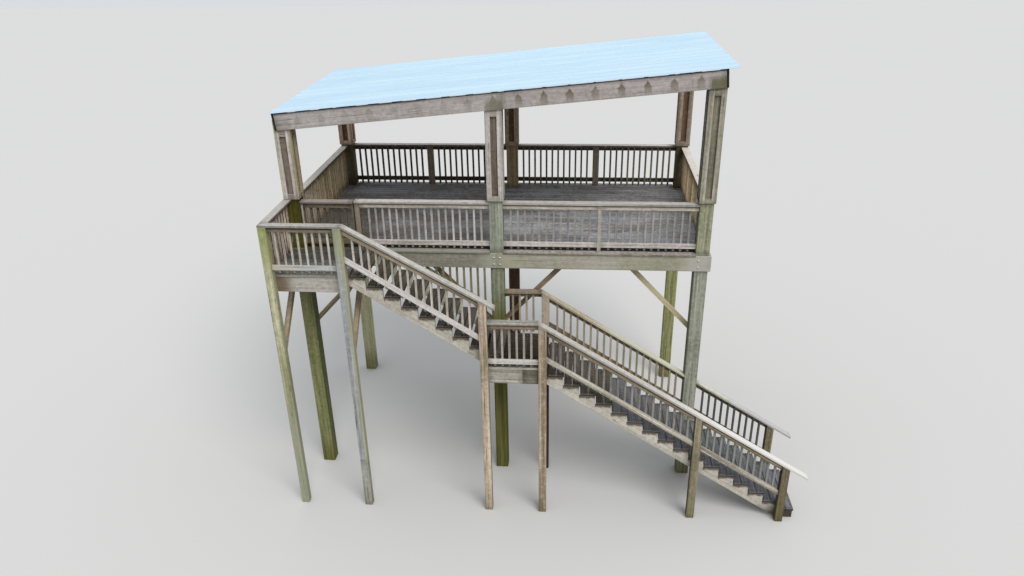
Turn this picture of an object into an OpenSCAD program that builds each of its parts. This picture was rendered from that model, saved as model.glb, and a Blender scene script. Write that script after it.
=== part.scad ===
// Raised viewing tower: a roofed timber deck on six heavy posts,
// reached by a stair of two flights with a landing between them.
// Millimetres, +Z up, +X along the front, +Y towards the back.
// The origin is the foot of the middle post of the front row.

/* [Main frame] */
// Distance between neighbouring main posts along the front
bay_w = 3660; // [3400:10:3900]
// Distance between the front and the back row of main posts
bay_depth = 3660; // [3400:10:3900]
// Side of a square main post
post_w = 240; // [215:1:260]
// Width of the eased edge on the posts
post_ease = 8; // [4:1:12]

/* [Boards] */
// Thickness of every sawn board
board_t = 38; // [34:1:42]
// Depth of the wide boards: beams, rims and stringers
beam_h = 286; // [270:1:310]
// Depth of the deck joists
joist_h = 235; // [200:1:260]
// Spacing of the joists
joist_pitch = 406; // [350:1:480]
// Gap between the decking edge and the beam face below it
deck_overhang = 20; // [10:1:30]

/* [Guards] */
// Height of a guard above the floor, to the top of its cap
guard_h = 914; // [880:1:1000]
// Width of the flat cap board
cap_w = 140; // [120:1:150]
// Depth of the top and bottom rails
rail_h = 89; // [75:1:100]
// Space between the floor and the bottom rail
rail_lift = 80; // [60:1:100]
// Side of a square baluster
baluster_w = 38; // [32:1:42]
// Clear gap between balusters
baluster_gap = 89; // [70:1:99]
// Height of the balusters' lower ends above the floor
baluster_foot = 20; // [10:1:40]
// Width of an intermediate stile
stile_w = 64; // [50:1:90]
// How far a stile stands out from the rails and balusters
stile_proud = 8; // [4:1:12]
// Height of the top landing's guard above its floor
landing_guard_h = 940; // [880:1:1000]
// Space between the top landing's floor and its bottom rails
landing_rail_lift = 125; // [60:1:140]
// Height of the middle landing's guard above its floor
mid_guard_h = 900; // [860:1:1000]
// How much lower the guards at the back of the stair are
back_guard_drop = 40; // [0:1:60]

/* [Gate] */
// Clear opening between the main post and the latch stile
gate_opening = 995; // [900:1:1050]
// Running gap at the hinge side
gate_hinge_gap = 10; // [8:1:14]
// Running gap at the latch side
gate_latch_gap = 22; // [18:1:30]
// Height of the gate's cap below the fixed cap
gate_drop = 15; // [0:1:25]
// Height of one gate hinge
hinge_h = 89; // [70:1:110]
// Radius of the hinge knuckles
knuckle_r = 8; // [7:0.5:9]
// Radius of the hinge pin
pin_r = 3; // [2.5:0.5:4]
// Thickness of a hinge leaf
leaf_t = 2.5; // [2:0.5:3.5]
// Width of a hinge leaf
leaf_w = 34; // [28:1:36]
// Space between a knuckle and the timber beside it
knuckle_gap = 0.5; // [0.3:0.1:1]

/* [Stair] */
// Height of one step
rise = 186.5; // [175:0.5:195]
// Length of one step
run = 288; // [275:1:300]
// Steps from the deck down to the middle landing
upper_steps = 9; // [9:1:9]
// Steps from the middle landing down to the ground
lower_steps = 17; // [17:1:17]
// Clear width between the outer stair posts and the main posts
stair_w = 1173; // [1050:1:1250]
// Depth of one tread
tread_d = 286; // [270:1:290]
// How far a tread's nosing stands past the stringer's cut
nosing = 20; // [10:1:25]
// Side of a square stair post
stair_post_w = 140; // [120:1:145]
// Length of the top landing along the front
top_landing_w = 1398; // [1300:1:1500]
// Length of the middle landing along the front
mid_landing_w = 1161; // [1100:1:1300]
// How far the upper flight stands on the middle landing
flight_lap = 381; // [300:1:400]
// Space between the nosing line and the raking bottom rail
rake_lift = 95; // [80:1:110]
// Space between the nosing line and the lower flight's front bottom rail, at its head
lower_rake_lift = 130; // [110:5:150]
// How much more that space is at the last post
lower_rake_gain = 60; // [0:5:80]
// How far the middle landing's front board stands behind the faces of its posts
front_board_in = 50; // [20:1:60]
// Height of the upper handrail above the middle landing at its post
upper_rail_h = 1300; // [1200:1:1320]
// Height of the lower handrails above the ground at the last posts
end_rail_h = 1276; // [1200:1:1340]
// Distance from the foot of the stair back to the last stair posts
end_post_back = 270; // [200:1:320]
// How far the lower handrails run past the foot of the stair
rail_past_foot = 140; // [80:1:200]
// How far the upper handrail runs past its lower post
rail_past_post = 145; // [60:1:150]

/* [Braces] */
// Depth of the brace boards
brace_h = 89; // [75:1:100]
// How far the knee braces' feet on the main posts are below the beams
knee_drop = 1300; // [900:10:1350]
// How far the knee braces' heads are from the main posts
knee_reach = 1235; // [900:5:1300]
// How much shorter the brace to the right of each middle post is
knee_trim = 65; // [0:5:100]
// How far the knee braces lap over the posts
knee_lap = 100; // [60:5:105]
// How far the landing braces' feet are below the beams
landing_drop = 1240; // [1000:10:1300]
// Space between a landing brace's head and the main post behind it
landing_brace_gap = 3; // [2:1:10]

/* [Columns] */
// Side of a boxed column above the guards
column_w = 290; // [270:1:310]
// Width of the strip left at each edge of a column face
column_strip = 89; // [75:1:95]
// Depth of the sunk panel on each column face
column_recess = 38; // [25:1:45]
// Height of the solid band at the foot of a column
column_foot = 89; // [60:1:120]
// Height of the solid band below the roof beam
column_head = 120; // [80:1:150]
// Gap between the highest cap beside a column and the column's foot
post_above_cap = 5; // [5:1:30]

/* [Roof] */
// Height of the roof beams' top edge above the ground, at the middle
roof_mid_h = 7690; // [7550:10:7800]
// Slope of the roof, rising to the right
roof_slope = 5.5; // [4.5:0.1:6.5]
// Length of the roof beams past the outer posts' centres
roof_beam_past = 110; // [60:5:140]
// Gap round the roof beams, to the columns and the end purlins
beam_gap = 0.3; // [0.2:0.1:1]
// Depth of the purlins
purlin_h = 140; // [120:1:150]
// How far the purlins stand above the beams
purlin_rise = 20; // [0:1:30]
// Number of purlins
purlin_count = 19; // [17:1:21]
// Roof sheet past the beams' low end
sheet_low_past = 60; // [45:1:80]
// Roof sheet past the beams' high end
sheet_high_past = 215; // [120:1:240]
// Roof sheet past the front and back beams
sheet_eaves = 35; // [20:1:60]
// Thickness of the roof sheet
sheet_t = 2; // [1.5:0.5:3]
// Height of the sheet's ribs
rib_h = 30; // [15:1:35]
// Distance between the sheet's ribs
rib_pitch = 305; // [200:1:320]
// Width of a rib at its top
rib_top = 24; // [18:1:30]
// Width of a rib at its foot
rib_foot = 66; // [60:1:80]

/* [Hidden] */
slope = rise / run;
deck_h = rise * (upper_steps + lower_steps);
mid_h = rise * lower_steps;
half_post = post_w / 2;
deck_frame_top = deck_h - board_t;
mid_frame_top = mid_h - board_t;
cap_top = deck_h + guard_h;
post_top = deck_h + max(guard_h, landing_guard_h) + post_above_cap;
// Faces that the stair pieces share
beam_face = -half_post - board_t;
deck_edge = beam_face - deck_overhang;
stair_back = -half_post;
stair_front = stair_back - stair_w;
stair_post_front = stair_front - stair_post_w;
frame_left = -bay_w - half_post - board_t;
top_right = frame_left + top_landing_w;
upper_end = top_right + upper_steps * run;
mid_left = upper_end - flight_lap;
mid_right = mid_left + mid_landing_w;
lower_end = mid_right + (lower_steps - 1) * run;
end_post_x = lower_end - end_post_back;
rail_end = lower_end + rail_past_foot;
// Nosing lines: a point on each, both falling with the stair's slope
upper_nose = [top_right + run, deck_h];
lower_nose = [mid_right, mid_h];
// Upper handrail: from the top landing's cap down to its lower post
upper_hand = [top_right, deck_h + landing_guard_h];
upper_hand_slope = (upper_hand[1] - mid_h - upper_rail_h) / (mid_left + stair_post_w / 2 - top_right);
// Lower handrails: from the middle landing's cap down to the last posts
lower_hand = [mid_right - stair_post_w, mid_h + mid_guard_h];
lower_hand_slope = (lower_hand[1] - end_rail_h) / (end_post_x - lower_hand[0]);
// Guard layers: rail outside, balusters inside, cap over both
cap_in = (cap_w - board_t - baluster_w) / 2;
// Depth of the groove in a cap that takes its rail and balusters
cap_groove = 3;
// Gate
gate_left = -bay_w + half_post + gate_hinge_gap;
latch_x = -bay_w + half_post + gate_opening;
gate_right = latch_x - gate_latch_gap;
gate_back = stair_back + cap_w;
hinge_x = -bay_w + half_post + knuckle_r + knuckle_gap;
hinge_y = gate_back + knuckle_r + 2 * knuckle_gap;
hinge_heights = [deck_h + 2.5 * rail_h, cap_top - 2.5 * rail_h - hinge_h];
// Running gaps round a hinge pin and between the two halves of a hinge
pin_clear = 0.08;
half_gap = 0.3;
// Roof
column_out = column_w / 2;
roof_half = bay_w + roof_beam_past;
eps = 0.01;

// Height of a falling line at x: p is a point on it, s its fall per length
function fall(p, s, x) = p[1] - s * (x - p[0]);

// Plate with its outline in the XZ plane, from y0 to y0 + t
module side_plate(points, y0, t) {
    translate([0, y0 + t, 0]) rotate([90, 0, 0]) linear_extrude(height = t) polygon(points);
}

// Board whose long edges follow a falling line, top edge given
module raking_board(x0, x1, p, s, depth, y0, t) {
    side_plate([[x0, fall(p, s, x0)], [x1, fall(p, s, x1)],
        [x1, fall(p, s, x1) - depth], [x0, fall(p, s, x0) - depth]], y0, t);
}

// Square outline with eased corners
module eased_square(w, e) {
    h = w / 2;
    polygon([[-h + e, -h], [h - e, -h], [h, -h + e], [h, h - e],
        [h - e, h], [-h + e, h], [-h, h - e], [-h, -h + e]]);
}

module eased_post(x, y, w, h) {
    translate([x, y, 0]) linear_extrude(height = h) eased_square(w, post_ease);
}

// Post whose top follows the underside of a raking cap
module cut_post(x, y, w, p, s) {
    intersection() {
        eased_post(x, y, w, fall(p, s, x - w));
        side_plate([[x - w, 0], [x + w, 0], [x + w, fall(p, s, x + w)],
            [x - w, fall(p, s, x - w)]], y - w, 2 * w);
    }
}

// Vertical thickness of a board that lies flat on a slope
function flat_depth(s) = board_t * sqrt(1 + s * s);

// Left edges of the balusters between a and b, evenly centred
function baluster_edges(a, b) =
    let (pitch = baluster_w + baluster_gap)
    let (count = floor((b - a - baluster_gap) / pitch))
    let (start = (a + b - count * pitch + baluster_gap) / 2)
    [for (i = [0 : count - 1]) start + i * pitch];

// Guard along X: cap over everything, rails and balusters in each bay.
// top is a point on the cap's top, foot one on the bottom rail's underside.
// side is 1 where the outside faces -Y and -1 where it faces +Y.
module guard(cap_x, bays, top, top_s, foot, foot_s, out_y, side = 1) {
    cap_y = side > 0 ? out_y : out_y - cap_w;
    rail_y = side > 0 ? out_y + cap_in : out_y - cap_in - board_t;
    bal_y = side > 0 ? rail_y + board_t : rail_y - baluster_w;
    cap_d = flat_depth(top_s);
    top_rail_d = rail_h * sqrt(1 + top_s * top_s);
    foot_rail_d = rail_h * sqrt(1 + foot_s * foot_s);
    in_cap = [top[0], top[1] - cap_d + cap_groove];
    foot_top = [foot[0], foot[1] + foot_rail_d];
    tail = rail_lift - baluster_foot;
    raking_board(cap_x[0], cap_x[1], top, top_s, cap_d, cap_y, cap_w);
    for (bay = bays) {
        raking_board(bay[0], bay[1], in_cap, top_s, top_rail_d, rail_y, board_t);
        raking_board(bay[0], bay[1], foot_top, foot_s, foot_rail_d, rail_y, board_t);
        for (x = baluster_edges(bay[0], bay[1]))
            baluster(x, in_cap, top_s, [foot[0], foot[1] - tail], foot_s, bal_y);
    }
}

module baluster(x, top, top_s, foot, foot_s, y) {
    x1 = x + baluster_w;
    side_plate([[x, fall(foot, foot_s, x)], [x1, fall(foot, foot_s, x1)],
        [x1, fall(top, top_s, x1)], [x, fall(top, top_s, x)]], y, baluster_w);
}

// Level guard along X on a floor at height z
module level_guard(cap_x, bays, z, out_y, side = 1, h = guard_h, lift = rail_lift) {
    guard(cap_x, bays, [0, z + h], 0, [0, z + lift], 0, out_y, side);
}

// Level guard along Y, its outside at x = out_x
module side_guard(y0, y1, z, out_x, side, bays, h = guard_h, lift = rail_lift) {
    translate([out_x, 0, 0]) rotate([0, 0, 90]) level_guard([y0, y1], bays, z, 0, side, h, lift);
}

// Stile that stops the rails and stands on the floor at height z
module stile(x, w, z, out_y, side = 1) {
    depth = board_t + baluster_w + 2 * stile_proud;
    y = side > 0 ? out_y + cap_in - stile_proud : out_y - cap_in + stile_proud - depth;
    translate([x, y, z]) cube([w, depth, guard_h - board_t]);
}

// Cut stringer: n seats, the first at height z, standing on floor_z
module stringer(x0, z, n, floor_z, y0) {
    seats = [for (i = [0 : n - 1]) each [[x0 + i * run, z - i * rise], [x0 + (i + 1) * run, z - i * rise]]];
    tips = [x0 + run, z];
    under = [tips[0], tips[1] - beam_h * sqrt(1 + slope * slope)];
    x_end = x0 + n * run;
    x_heel = under[0] + (under[1] - floor_z) / slope;
    side_plate(concat(seats, [[x_end, floor_z], [x_heel, floor_z], [x0, fall(under, slope, x0)]]), y0, board_t);
}

// Treads of one flight, the first with its top at height z
module treads(x0, z, n, y0, y1) {
    for (i = [0 : n - 1])
        translate([x0 + (i + 1) * run + nosing - tread_d, y0, z - i * rise - board_t])
            cube([tread_d, y1 - y0, board_t]);
}

// Joists along Y, evenly spaced between two rims
module joists(x0, x1, y0, y1, top, depth) {
    count = max(1, round((x1 - x0) / joist_pitch) - 1);
    step = (x1 - x0) / (count + 1);
    for (i = [1 : count])
        translate([x0 + i * step - board_t / 2, y0, top - depth])
            cube([board_t, y1 - y0, depth]);
}

module board_x(x0, x1, y, top, depth) {
    translate([x0, y, top - depth]) cube([x1 - x0, board_t, depth]);
}

module board_y(x, y0, y1, top, depth) {
    translate([x, y0, top - depth]) cube([board_t, y1 - y0, depth]);
}

// Main frame

module main_posts_front() {
    color("darkolivegreen") for (i = [-1 : 1]) eased_post(i * bay_w, 0, post_w, post_top);
}

module main_posts_back() {
    color("darkolivegreen") for (i = [-1 : 1]) eased_post(i * bay_w, bay_depth, post_w, post_top);
}

// The roof's own frame: x along the slope, z = 0 at the beams' top
module on_roof() {
    translate([0, 0, roof_mid_h]) rotate([0, -roof_slope, 0]) children();
}

module column(x, y) {
    head_z = roof_mid_h + x * tan(roof_slope) - beam_h / cos(roof_slope) - column_head;
    panel_z = post_top + column_foot;
    panel_w = column_w - 2 * column_strip;
    difference() {
        translate([x - column_out, y - column_out, post_top])
            cube([column_w, column_w, roof_mid_h + bay_w - post_top]);
        for (a = [0 : 90 : 270])
            translate([x, y, 0]) rotate([0, 0, a])
                translate([-panel_w / 2, -column_out - eps, panel_z])
                    cube([panel_w, column_recess + eps, head_z - panel_z]);
        on_roof() translate([-2 * bay_w, -bay_depth, purlin_rise - purlin_h])
            cube([4 * bay_w, 3 * bay_depth, 2 * bay_w]);
    }
}

module columns_front() {
    color("rosybrown") for (i = [-1 : 1]) column(i * bay_w, 0);
}

module columns_back() {
    color("rosybrown") for (i = [-1 : 1]) column(i * bay_w, bay_depth);
}

module deck_beams_outer() {
    color("gray") {
        board_x(frame_left, -frame_left, beam_face, deck_frame_top, beam_h);
        board_x(frame_left, -frame_left, bay_depth + half_post, deck_frame_top, beam_h);
    }
}

module deck_beams_inner() {
    span = bay_w + half_post;
    color("gray") {
        board_x(-span, span, half_post, deck_frame_top, beam_h);
        board_x(-span, span, bay_depth - half_post - board_t, deck_frame_top, beam_h);
    }
}

module deck_side_rims() {
    color("gray") for (x = [frame_left, -frame_left - board_t])
        board_y(x, -half_post, bay_depth + half_post, deck_frame_top, beam_h);
}

module deck_joists() {
    y0 = half_post + board_t;
    span = bay_w + half_post;
    color("tan") joists(-span, span, y0, bay_depth - y0, deck_frame_top, joist_h);
}

module deck_floor() {
    side = frame_left - deck_overhang;
    color("dimgray") translate([0, 0, deck_frame_top]) linear_extrude(height = board_t)
        difference() {
            translate([side, deck_edge]) square([-2 * side, bay_depth - 2 * deck_edge]);
            for (i = [-1 : 1], y = [0, bay_depth])
                translate([i * bay_w, y]) eased_square(post_w, post_ease);
        }
}

// Guards of the main deck

module guard_front_left() {
    x1 = -half_post;
    color("lightgray") {
        level_guard([latch_x, x1], [[latch_x + rail_h, x1]], deck_h, stair_back);
        stile(latch_x, rail_h, deck_h, stair_back);
    }
}

// Guard between two main posts with a stile at mid length
module bay_guard(i, y_out, side, w) {
    a = i * bay_w + half_post;
    b = (i + 1) * bay_w - half_post;
    m = (a + b - w) / 2;
    color("lightgray") {
        level_guard([a, b], [[a, m], [m + w, b]], deck_h, y_out, side);
        stile(m, w, deck_h, y_out, side);
    }
}

module guard_front_right() { bay_guard(0, stair_back, 1, stile_w); }
module guard_back_left() { bay_guard(-1, bay_depth + half_post, -1, rail_h); }
module guard_back_right() { bay_guard(0, bay_depth + half_post, -1, rail_h); }

module end_guard(x_out, side) {
    y0 = half_post;
    y1 = bay_depth - half_post;
    m = (y0 + y1 - rail_h) / 2;
    color("lightgray") {
        side_guard(y0, y1, deck_h, x_out, side, [[y0, m], [m + rail_h, y1]]);
        translate([x_out, 0, 0]) rotate([0, 0, 90]) stile(m, rail_h, deck_h, 0, side);
    }
}

module guard_left() { end_guard(-bay_w - half_post, -1); }
module guard_right() { end_guard(bay_w + half_post, 1); }

// Gate in the guard at the top landing, swinging in over the deck

module gate() {
    z = deck_h - gate_drop;
    foot = z + rail_lift + gate_drop;
    back = gate_back - stair_back - cap_in;
    color("silver") {
        guard([gate_left, gate_right], [[gate_left + board_t, gate_right - board_t]],
            [0, z + guard_h], 0, [0, foot], 0, stair_back);
        for (x = [gate_left, gate_right - board_t])
            translate([x, stair_back + cap_in, foot]) cube([board_t, back, z + guard_h - board_t - foot]);
    }
}

// Knuckle with its own leaf link, h high from z
module knuckle(z, h) {
    translate([hinge_x, hinge_y, z]) cylinder(r = knuckle_r, h = h, $fn = 32);
}

module gate_hinges() {
    half = hinge_h / 2;
    color("dimgray") for (z = hinge_heights) {
        difference() {
            union() {
                knuckle(z + half + half_gap, half - half_gap);
                translate([hinge_x, gate_back, z + half + half_gap])
                    cube([leaf_w, leaf_t, half - half_gap]);
                translate([hinge_x + knuckle_r + knuckle_gap, gate_back, z])
                    cube([leaf_w - knuckle_r - knuckle_gap, leaf_t, hinge_h]);
            }
            translate([hinge_x, hinge_y, z + half]) cylinder(r = pin_r + pin_clear, h = hinge_h, $fn = 32);
        }
    }
}

module gate_hinge_seats() {
    half = hinge_h / 2;
    face = -bay_w + half_post;
    color("dimgray") for (z = hinge_heights) {
        knuckle(z, half);
        translate([hinge_x, hinge_y, z + half - eps]) cylinder(r = pin_r, h = half + eps, $fn = 32);
        translate([face, hinge_y, z]) cube([leaf_t, leaf_w, half]);
        translate([face, hinge_y + knuckle_r + knuckle_gap, z])
            cube([leaf_t, leaf_w - knuckle_r - knuckle_gap, hinge_h]);
    }
}

// Braces

// Brace in the XZ plane, w wide from y0: plumb cut lap behind x0, level cut at z1.
// drop and reach are those of its lower edge; reach is negative towards -X.
module brace(x0, z1, drop, reach, lap, y0, w) {
    s = drop / reach;
    d = brace_h * sqrt(1 + s * s);
    x = x0 - lap * sign(reach);
    low = z1 - drop + s * (x - x0);
    side_plate([[x, low], [x0 + reach, z1], [x0 + reach - d / s, z1], [x, low + d]], y0, w);
}

module knee_braces() {
    z = deck_frame_top - beam_h;
    color("burlywood")
        for (y = [half_post, bay_depth - half_post - board_t], i = [-1 : 0]) {
            trim = i == 0 ? knee_trim : 0;
            brace(i * bay_w + half_post, z, knee_drop - trim, knee_reach - trim, knee_lap, y, board_t);
            brace((i + 1) * bay_w - half_post, z, knee_drop, -knee_reach, knee_lap, y, board_t);
        }
}

// Square braces from the top landing's posts up to the underside of the deck beam
module landing_braces() {
    z = deck_frame_top - beam_h;
    reach = stair_w - landing_brace_gap;
    color("tan") for (x = [frame_left + stair_post_w / 2, top_right - stair_post_w / 2])
        translate([x + brace_h / 2, stair_front, 0]) rotate([0, 0, 90])
            brace(0, z, landing_drop, reach, 0, 0, brace_h);
}

// Stair posts

function stair_post_y() = stair_post_front + stair_post_w / 2;

module top_landing_posts() {
    h = deck_h + landing_guard_h - board_t;
    w = stair_post_w;
    color("darkseagreen") {
        eased_post(frame_left + w / 2, stair_post_y(), w, h);
        eased_post(top_right - w / 2, stair_post_y(), w, h);
    }
}

// Point on the underside of a lower handrail's cap
function under_lower_cap(drop) = [lower_hand[0], lower_hand[1] - drop - flat_depth(lower_hand_slope)];

module mid_landing_posts() {
    w = stair_post_w;
    p = [upper_hand[0], upper_hand[1] - flat_depth(upper_hand_slope)];
    color("peru") {
        cut_post(mid_left + w / 2, stair_post_y(), w, p, upper_hand_slope);
        cut_post(mid_right - w / 2, stair_post_y(), w, under_lower_cap(0), lower_hand_slope);
    }
}

module lower_flight_posts() {
    color("peru") for (x = [bay_w, end_post_x])
        cut_post(x, stair_post_y(), stair_post_w, under_lower_cap(0), lower_hand_slope);
}

module back_stair_posts() {
    w = stair_post_w;
    color("peru") for (x = [mid_right - w / 2, end_post_x])
        cut_post(x, stair_back + w / 2, w, under_lower_cap(back_guard_drop), lower_hand_slope);
}

// Top landing

module top_landing_rim() {
    color("tan") board_x(frame_left, top_right, stair_front, deck_frame_top, beam_h);
}

module top_landing_side_rims() {
    color("tan") for (x = [frame_left, top_right - board_t])
        board_y(x, stair_front + board_t, beam_face, deck_frame_top, beam_h);
}

module top_landing_joists() {
    color("tan") joists(frame_left + board_t, top_right - board_t, stair_front + board_t,
        beam_face, deck_frame_top, joist_h);
}

module top_landing_floor() {
    front = stair_front - deck_overhang;
    color("dimgray") translate([0, 0, deck_frame_top]) linear_extrude(height = board_t)
        difference() {
            translate([frame_left, front]) square([top_landing_w, deck_edge - front]);
            for (x = [frame_left + stair_post_w / 2, top_right - stair_post_w / 2])
                translate([x, stair_post_y()]) eased_square(stair_post_w, post_ease);
        }
}

module top_guard_left() {
    y0 = stair_front;
    color("lightgray") side_guard(y0, stair_back, deck_h, frame_left, -1, [[y0, stair_back]],
        landing_guard_h, landing_rail_lift);
}

module top_guard_front() {
    color("lightgray") level_guard([frame_left, top_right],
        [[frame_left + stair_post_w, top_right - stair_post_w]], deck_h, stair_post_front, 1,
        landing_guard_h, landing_rail_lift);
}

// Upper flight

module upper_stringers() {
    color("tan") for (y = [stair_front, beam_face - board_t])
        stringer(top_right, deck_frame_top, upper_steps, mid_h, y);
}

module upper_treads() {
    color("gray") treads(top_right, deck_h, upper_steps, stair_front, deck_edge);
}

module upper_guard_front() {
    x1 = mid_left + stair_post_w;
    color("lightgray") guard([top_right, x1 + rail_past_post], [[top_right, mid_left]],
        upper_hand, upper_hand_slope, [upper_nose[0], upper_nose[1] + rake_lift], slope, stair_post_front);
}

// Balusters hung from the deck beam down to a raking rail beside the flight
module upper_guard_back() {
    foot = [upper_nose[0], upper_nose[1] + rake_lift];
    rail_d = rail_h * sqrt(1 + slope * slope);
    rail_top = [foot[0], foot[1] + rail_d];
    beam_low = deck_frame_top - beam_h;
    x1 = -half_post;
    x0 = rail_top[0] + (rail_top[1] - beam_low) / slope;
    x_clear = x0 + baluster_gap;
    color("burlywood") {
        raking_board(x0, x1, rail_top, slope, rail_d, -half_post, board_t);
        for (x = baluster_edges(x_clear, x1))
            baluster(x, [0, beam_low], 0, [foot[0], foot[1] - rail_lift + baluster_foot], slope, beam_face);
    }
}

// Middle landing

// Face of the board between the landing's front posts, and of the floor over it
mid_front = stair_post_front + front_board_in;

module mid_landing_rims() {
    color("tan") for (y = [stair_front, stair_back - board_t])
        board_x(mid_left, mid_right, y, mid_frame_top, beam_h);
    color("tan") board_x(mid_left + stair_post_w, mid_right - stair_post_w, mid_front, mid_frame_top, beam_h);
}

module mid_landing_side_rims() {
    color("tan") for (x = [mid_left, mid_right - board_t])
        board_y(x, stair_front + board_t, stair_back - board_t, mid_frame_top, beam_h);
}

module mid_landing_joists() {
    color("tan") joists(mid_left + board_t, mid_right - board_t, stair_front + board_t,
        stair_back - board_t, mid_frame_top, joist_h);
}

module mid_landing_floor() {
    a = mid_left + stair_post_w;
    b = mid_right - stair_post_w;
    color("dimgray") translate([0, 0, mid_frame_top]) linear_extrude(height = board_t)
        polygon([[mid_left, stair_front], [a, stair_front], [a, mid_front], [b, mid_front],
            [b, stair_front], [mid_right, stair_front], [mid_right, stair_back], [mid_left, stair_back]]);
}

module mid_guard_front() {
    x = [mid_left + stair_post_w, lower_hand[0]];
    color("lightgray") level_guard(x, [x], mid_h, stair_post_front, 1, mid_guard_h);
}

module mid_guard_back() {
    x = [half_post, lower_hand[0]];
    color("lightgray") level_guard(x, [x], mid_h, stair_back + cap_w, -1, mid_guard_h - back_guard_drop);
}

// Lower flight

module lower_stringers() {
    color("tan") for (y = [stair_front, stair_back - board_t])
        stringer(mid_right, mid_frame_top - rise, lower_steps - 1, 0, y);
}

module lower_treads() {
    color("gray") treads(mid_right, mid_h - rise, lower_steps - 1, stair_front, stair_back);
}

module lower_guard(cap_x, bays, out_y, side, drop, lift, gain) {
    foot_s = slope - gain / (end_post_x - mid_right);
    color("lightgray") guard(cap_x, bays, [lower_hand[0], lower_hand[1] - drop], lower_hand_slope,
        [lower_nose[0], lower_nose[1] + lift], foot_s, out_y, side);
}

module lower_guard_front() {
    h = stair_post_w / 2;
    lower_guard([lower_hand[0], rail_end], [[mid_right, bay_w - h], [bay_w + h, end_post_x - h]],
        stair_post_front, 1, 0, lower_rake_lift, lower_rake_gain);
}

module lower_guard_back() {
    a = bay_w - half_post;
    b = bay_w + half_post;
    y = stair_back + cap_w;
    lower_guard([lower_hand[0], a], [[mid_right, a]], y, -1, back_guard_drop, rake_lift, 0);
    lower_guard([b, rail_end], [[b, end_post_x - stair_post_w / 2]], y, -1, back_guard_drop, rake_lift, 0);
}

// Roof

module roof_beams() {
    in_face = column_out + beam_gap;
    color("darkgray") on_roof()
        for (y = [-in_face - board_t, bay_depth + in_face])
            translate([-roof_half, y, -beam_h]) cube([2 * roof_half, board_t, beam_h]);
}

// Purlins between the beams; the first and the last one cover the beams' ends
module roof_purlins() {
    first = -roof_half - beam_gap - board_t;
    step = 2 * (roof_half + beam_gap + board_t / 2) / (purlin_count - 1);
    color("burlywood") on_roof()
        for (i = [0 : purlin_count - 1]) {
            past = i == 0 || i == purlin_count - 1 ? beam_gap + board_t : 0;
            translate([first + i * step, -column_out - past, purlin_rise - purlin_h])
                cube([board_t, bay_depth + 2 * (column_out + past), purlin_h]);
        }
}

// Sheet outline across its ribs: lower line first, then the upper line back
module roof_sheet() {
    depth = bay_depth + 2 * (column_out + beam_gap + board_t + sheet_eaves);
    count = floor((depth - rib_pitch) / rib_pitch) + 1;
    first = (depth - (count - 1) * rib_pitch) / 2;
    foot = rib_foot / 2;
    low = [for (i = [0 : count - 1]) let (c = first + i * rib_pitch)
        each [[c - foot, 0], [c - rib_top / 2, rib_h], [c + rib_top / 2, rib_h], [c + foot, 0]]];
    high = [for (i = [count - 1 : -1 : 0]) let (c = first + i * rib_pitch)
        each [[c + foot, sheet_t], [c + rib_top / 2, rib_h + sheet_t],
            [c - rib_top / 2, rib_h + sheet_t], [c - foot, sheet_t]]];
    color("lightsteelblue") on_roof()
        translate([-roof_half - sheet_low_past, (bay_depth - depth) / 2, purlin_rise])
            rotate([90, 0, 90]) linear_extrude(height = 2 * roof_half + sheet_low_past + sheet_high_past)
                polygon(concat([[0, 0]], low, [[depth, 0], [depth, sheet_t]], high, [[0, sheet_t]]));
}

main_posts_front();
main_posts_back();
columns_front();
columns_back();
deck_beams_outer();
deck_beams_inner();
deck_side_rims();
deck_joists();
deck_floor();
guard_front_left();
guard_front_right();
guard_back_left();
guard_back_right();
guard_left();
guard_right();
gate();
gate_hinges();
gate_hinge_seats();
knee_braces();
landing_braces();
top_landing_posts();
mid_landing_posts();
lower_flight_posts();
back_stair_posts();
top_landing_rim();
top_landing_side_rims();
top_landing_joists();
top_landing_floor();
top_guard_left();
top_guard_front();
upper_stringers();
upper_treads();
upper_guard_front();
upper_guard_back();
mid_landing_rims();
mid_landing_side_rims();
mid_landing_joists();
mid_landing_floor();
mid_guard_front();
mid_guard_back();
lower_stringers();
lower_treads();
lower_guard_front();
lower_guard_back();
roof_beams();
roof_purlins();
roof_sheet();
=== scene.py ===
import math
import random
from functools import partial

import bmesh
import bpy
from mathutils import Matrix, Vector


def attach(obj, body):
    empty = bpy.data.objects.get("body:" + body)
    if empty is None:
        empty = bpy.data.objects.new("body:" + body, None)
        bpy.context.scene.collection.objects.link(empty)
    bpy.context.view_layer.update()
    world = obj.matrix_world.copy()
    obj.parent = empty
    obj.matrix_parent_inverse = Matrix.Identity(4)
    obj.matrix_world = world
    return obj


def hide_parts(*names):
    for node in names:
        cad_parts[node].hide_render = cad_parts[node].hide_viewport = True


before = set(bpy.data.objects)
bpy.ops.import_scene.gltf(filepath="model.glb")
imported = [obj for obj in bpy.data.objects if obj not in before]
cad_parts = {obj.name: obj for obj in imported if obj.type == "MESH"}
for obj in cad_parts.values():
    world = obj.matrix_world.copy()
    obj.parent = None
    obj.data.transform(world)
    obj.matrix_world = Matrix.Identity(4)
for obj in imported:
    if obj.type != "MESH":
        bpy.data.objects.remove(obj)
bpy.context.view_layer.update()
dice = random.Random(23)
ALONG, ACROSS, UPRIGHT = (1, 0, 0), (0, 1, 0), (0, 0, 1)
TURNED = Matrix.Rotation(math.pi / 2, 4, "Z")


def plug(node, sockets):
    """Fills a node's sockets with values or with other nodes' outputs."""
    for key, value in sockets.items():
        if isinstance(value, bpy.types.NodeSocket):
            node.id_data.links.new(value, node.inputs[key])
        else:
            node.inputs[key].default_value = value
    return node


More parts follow.
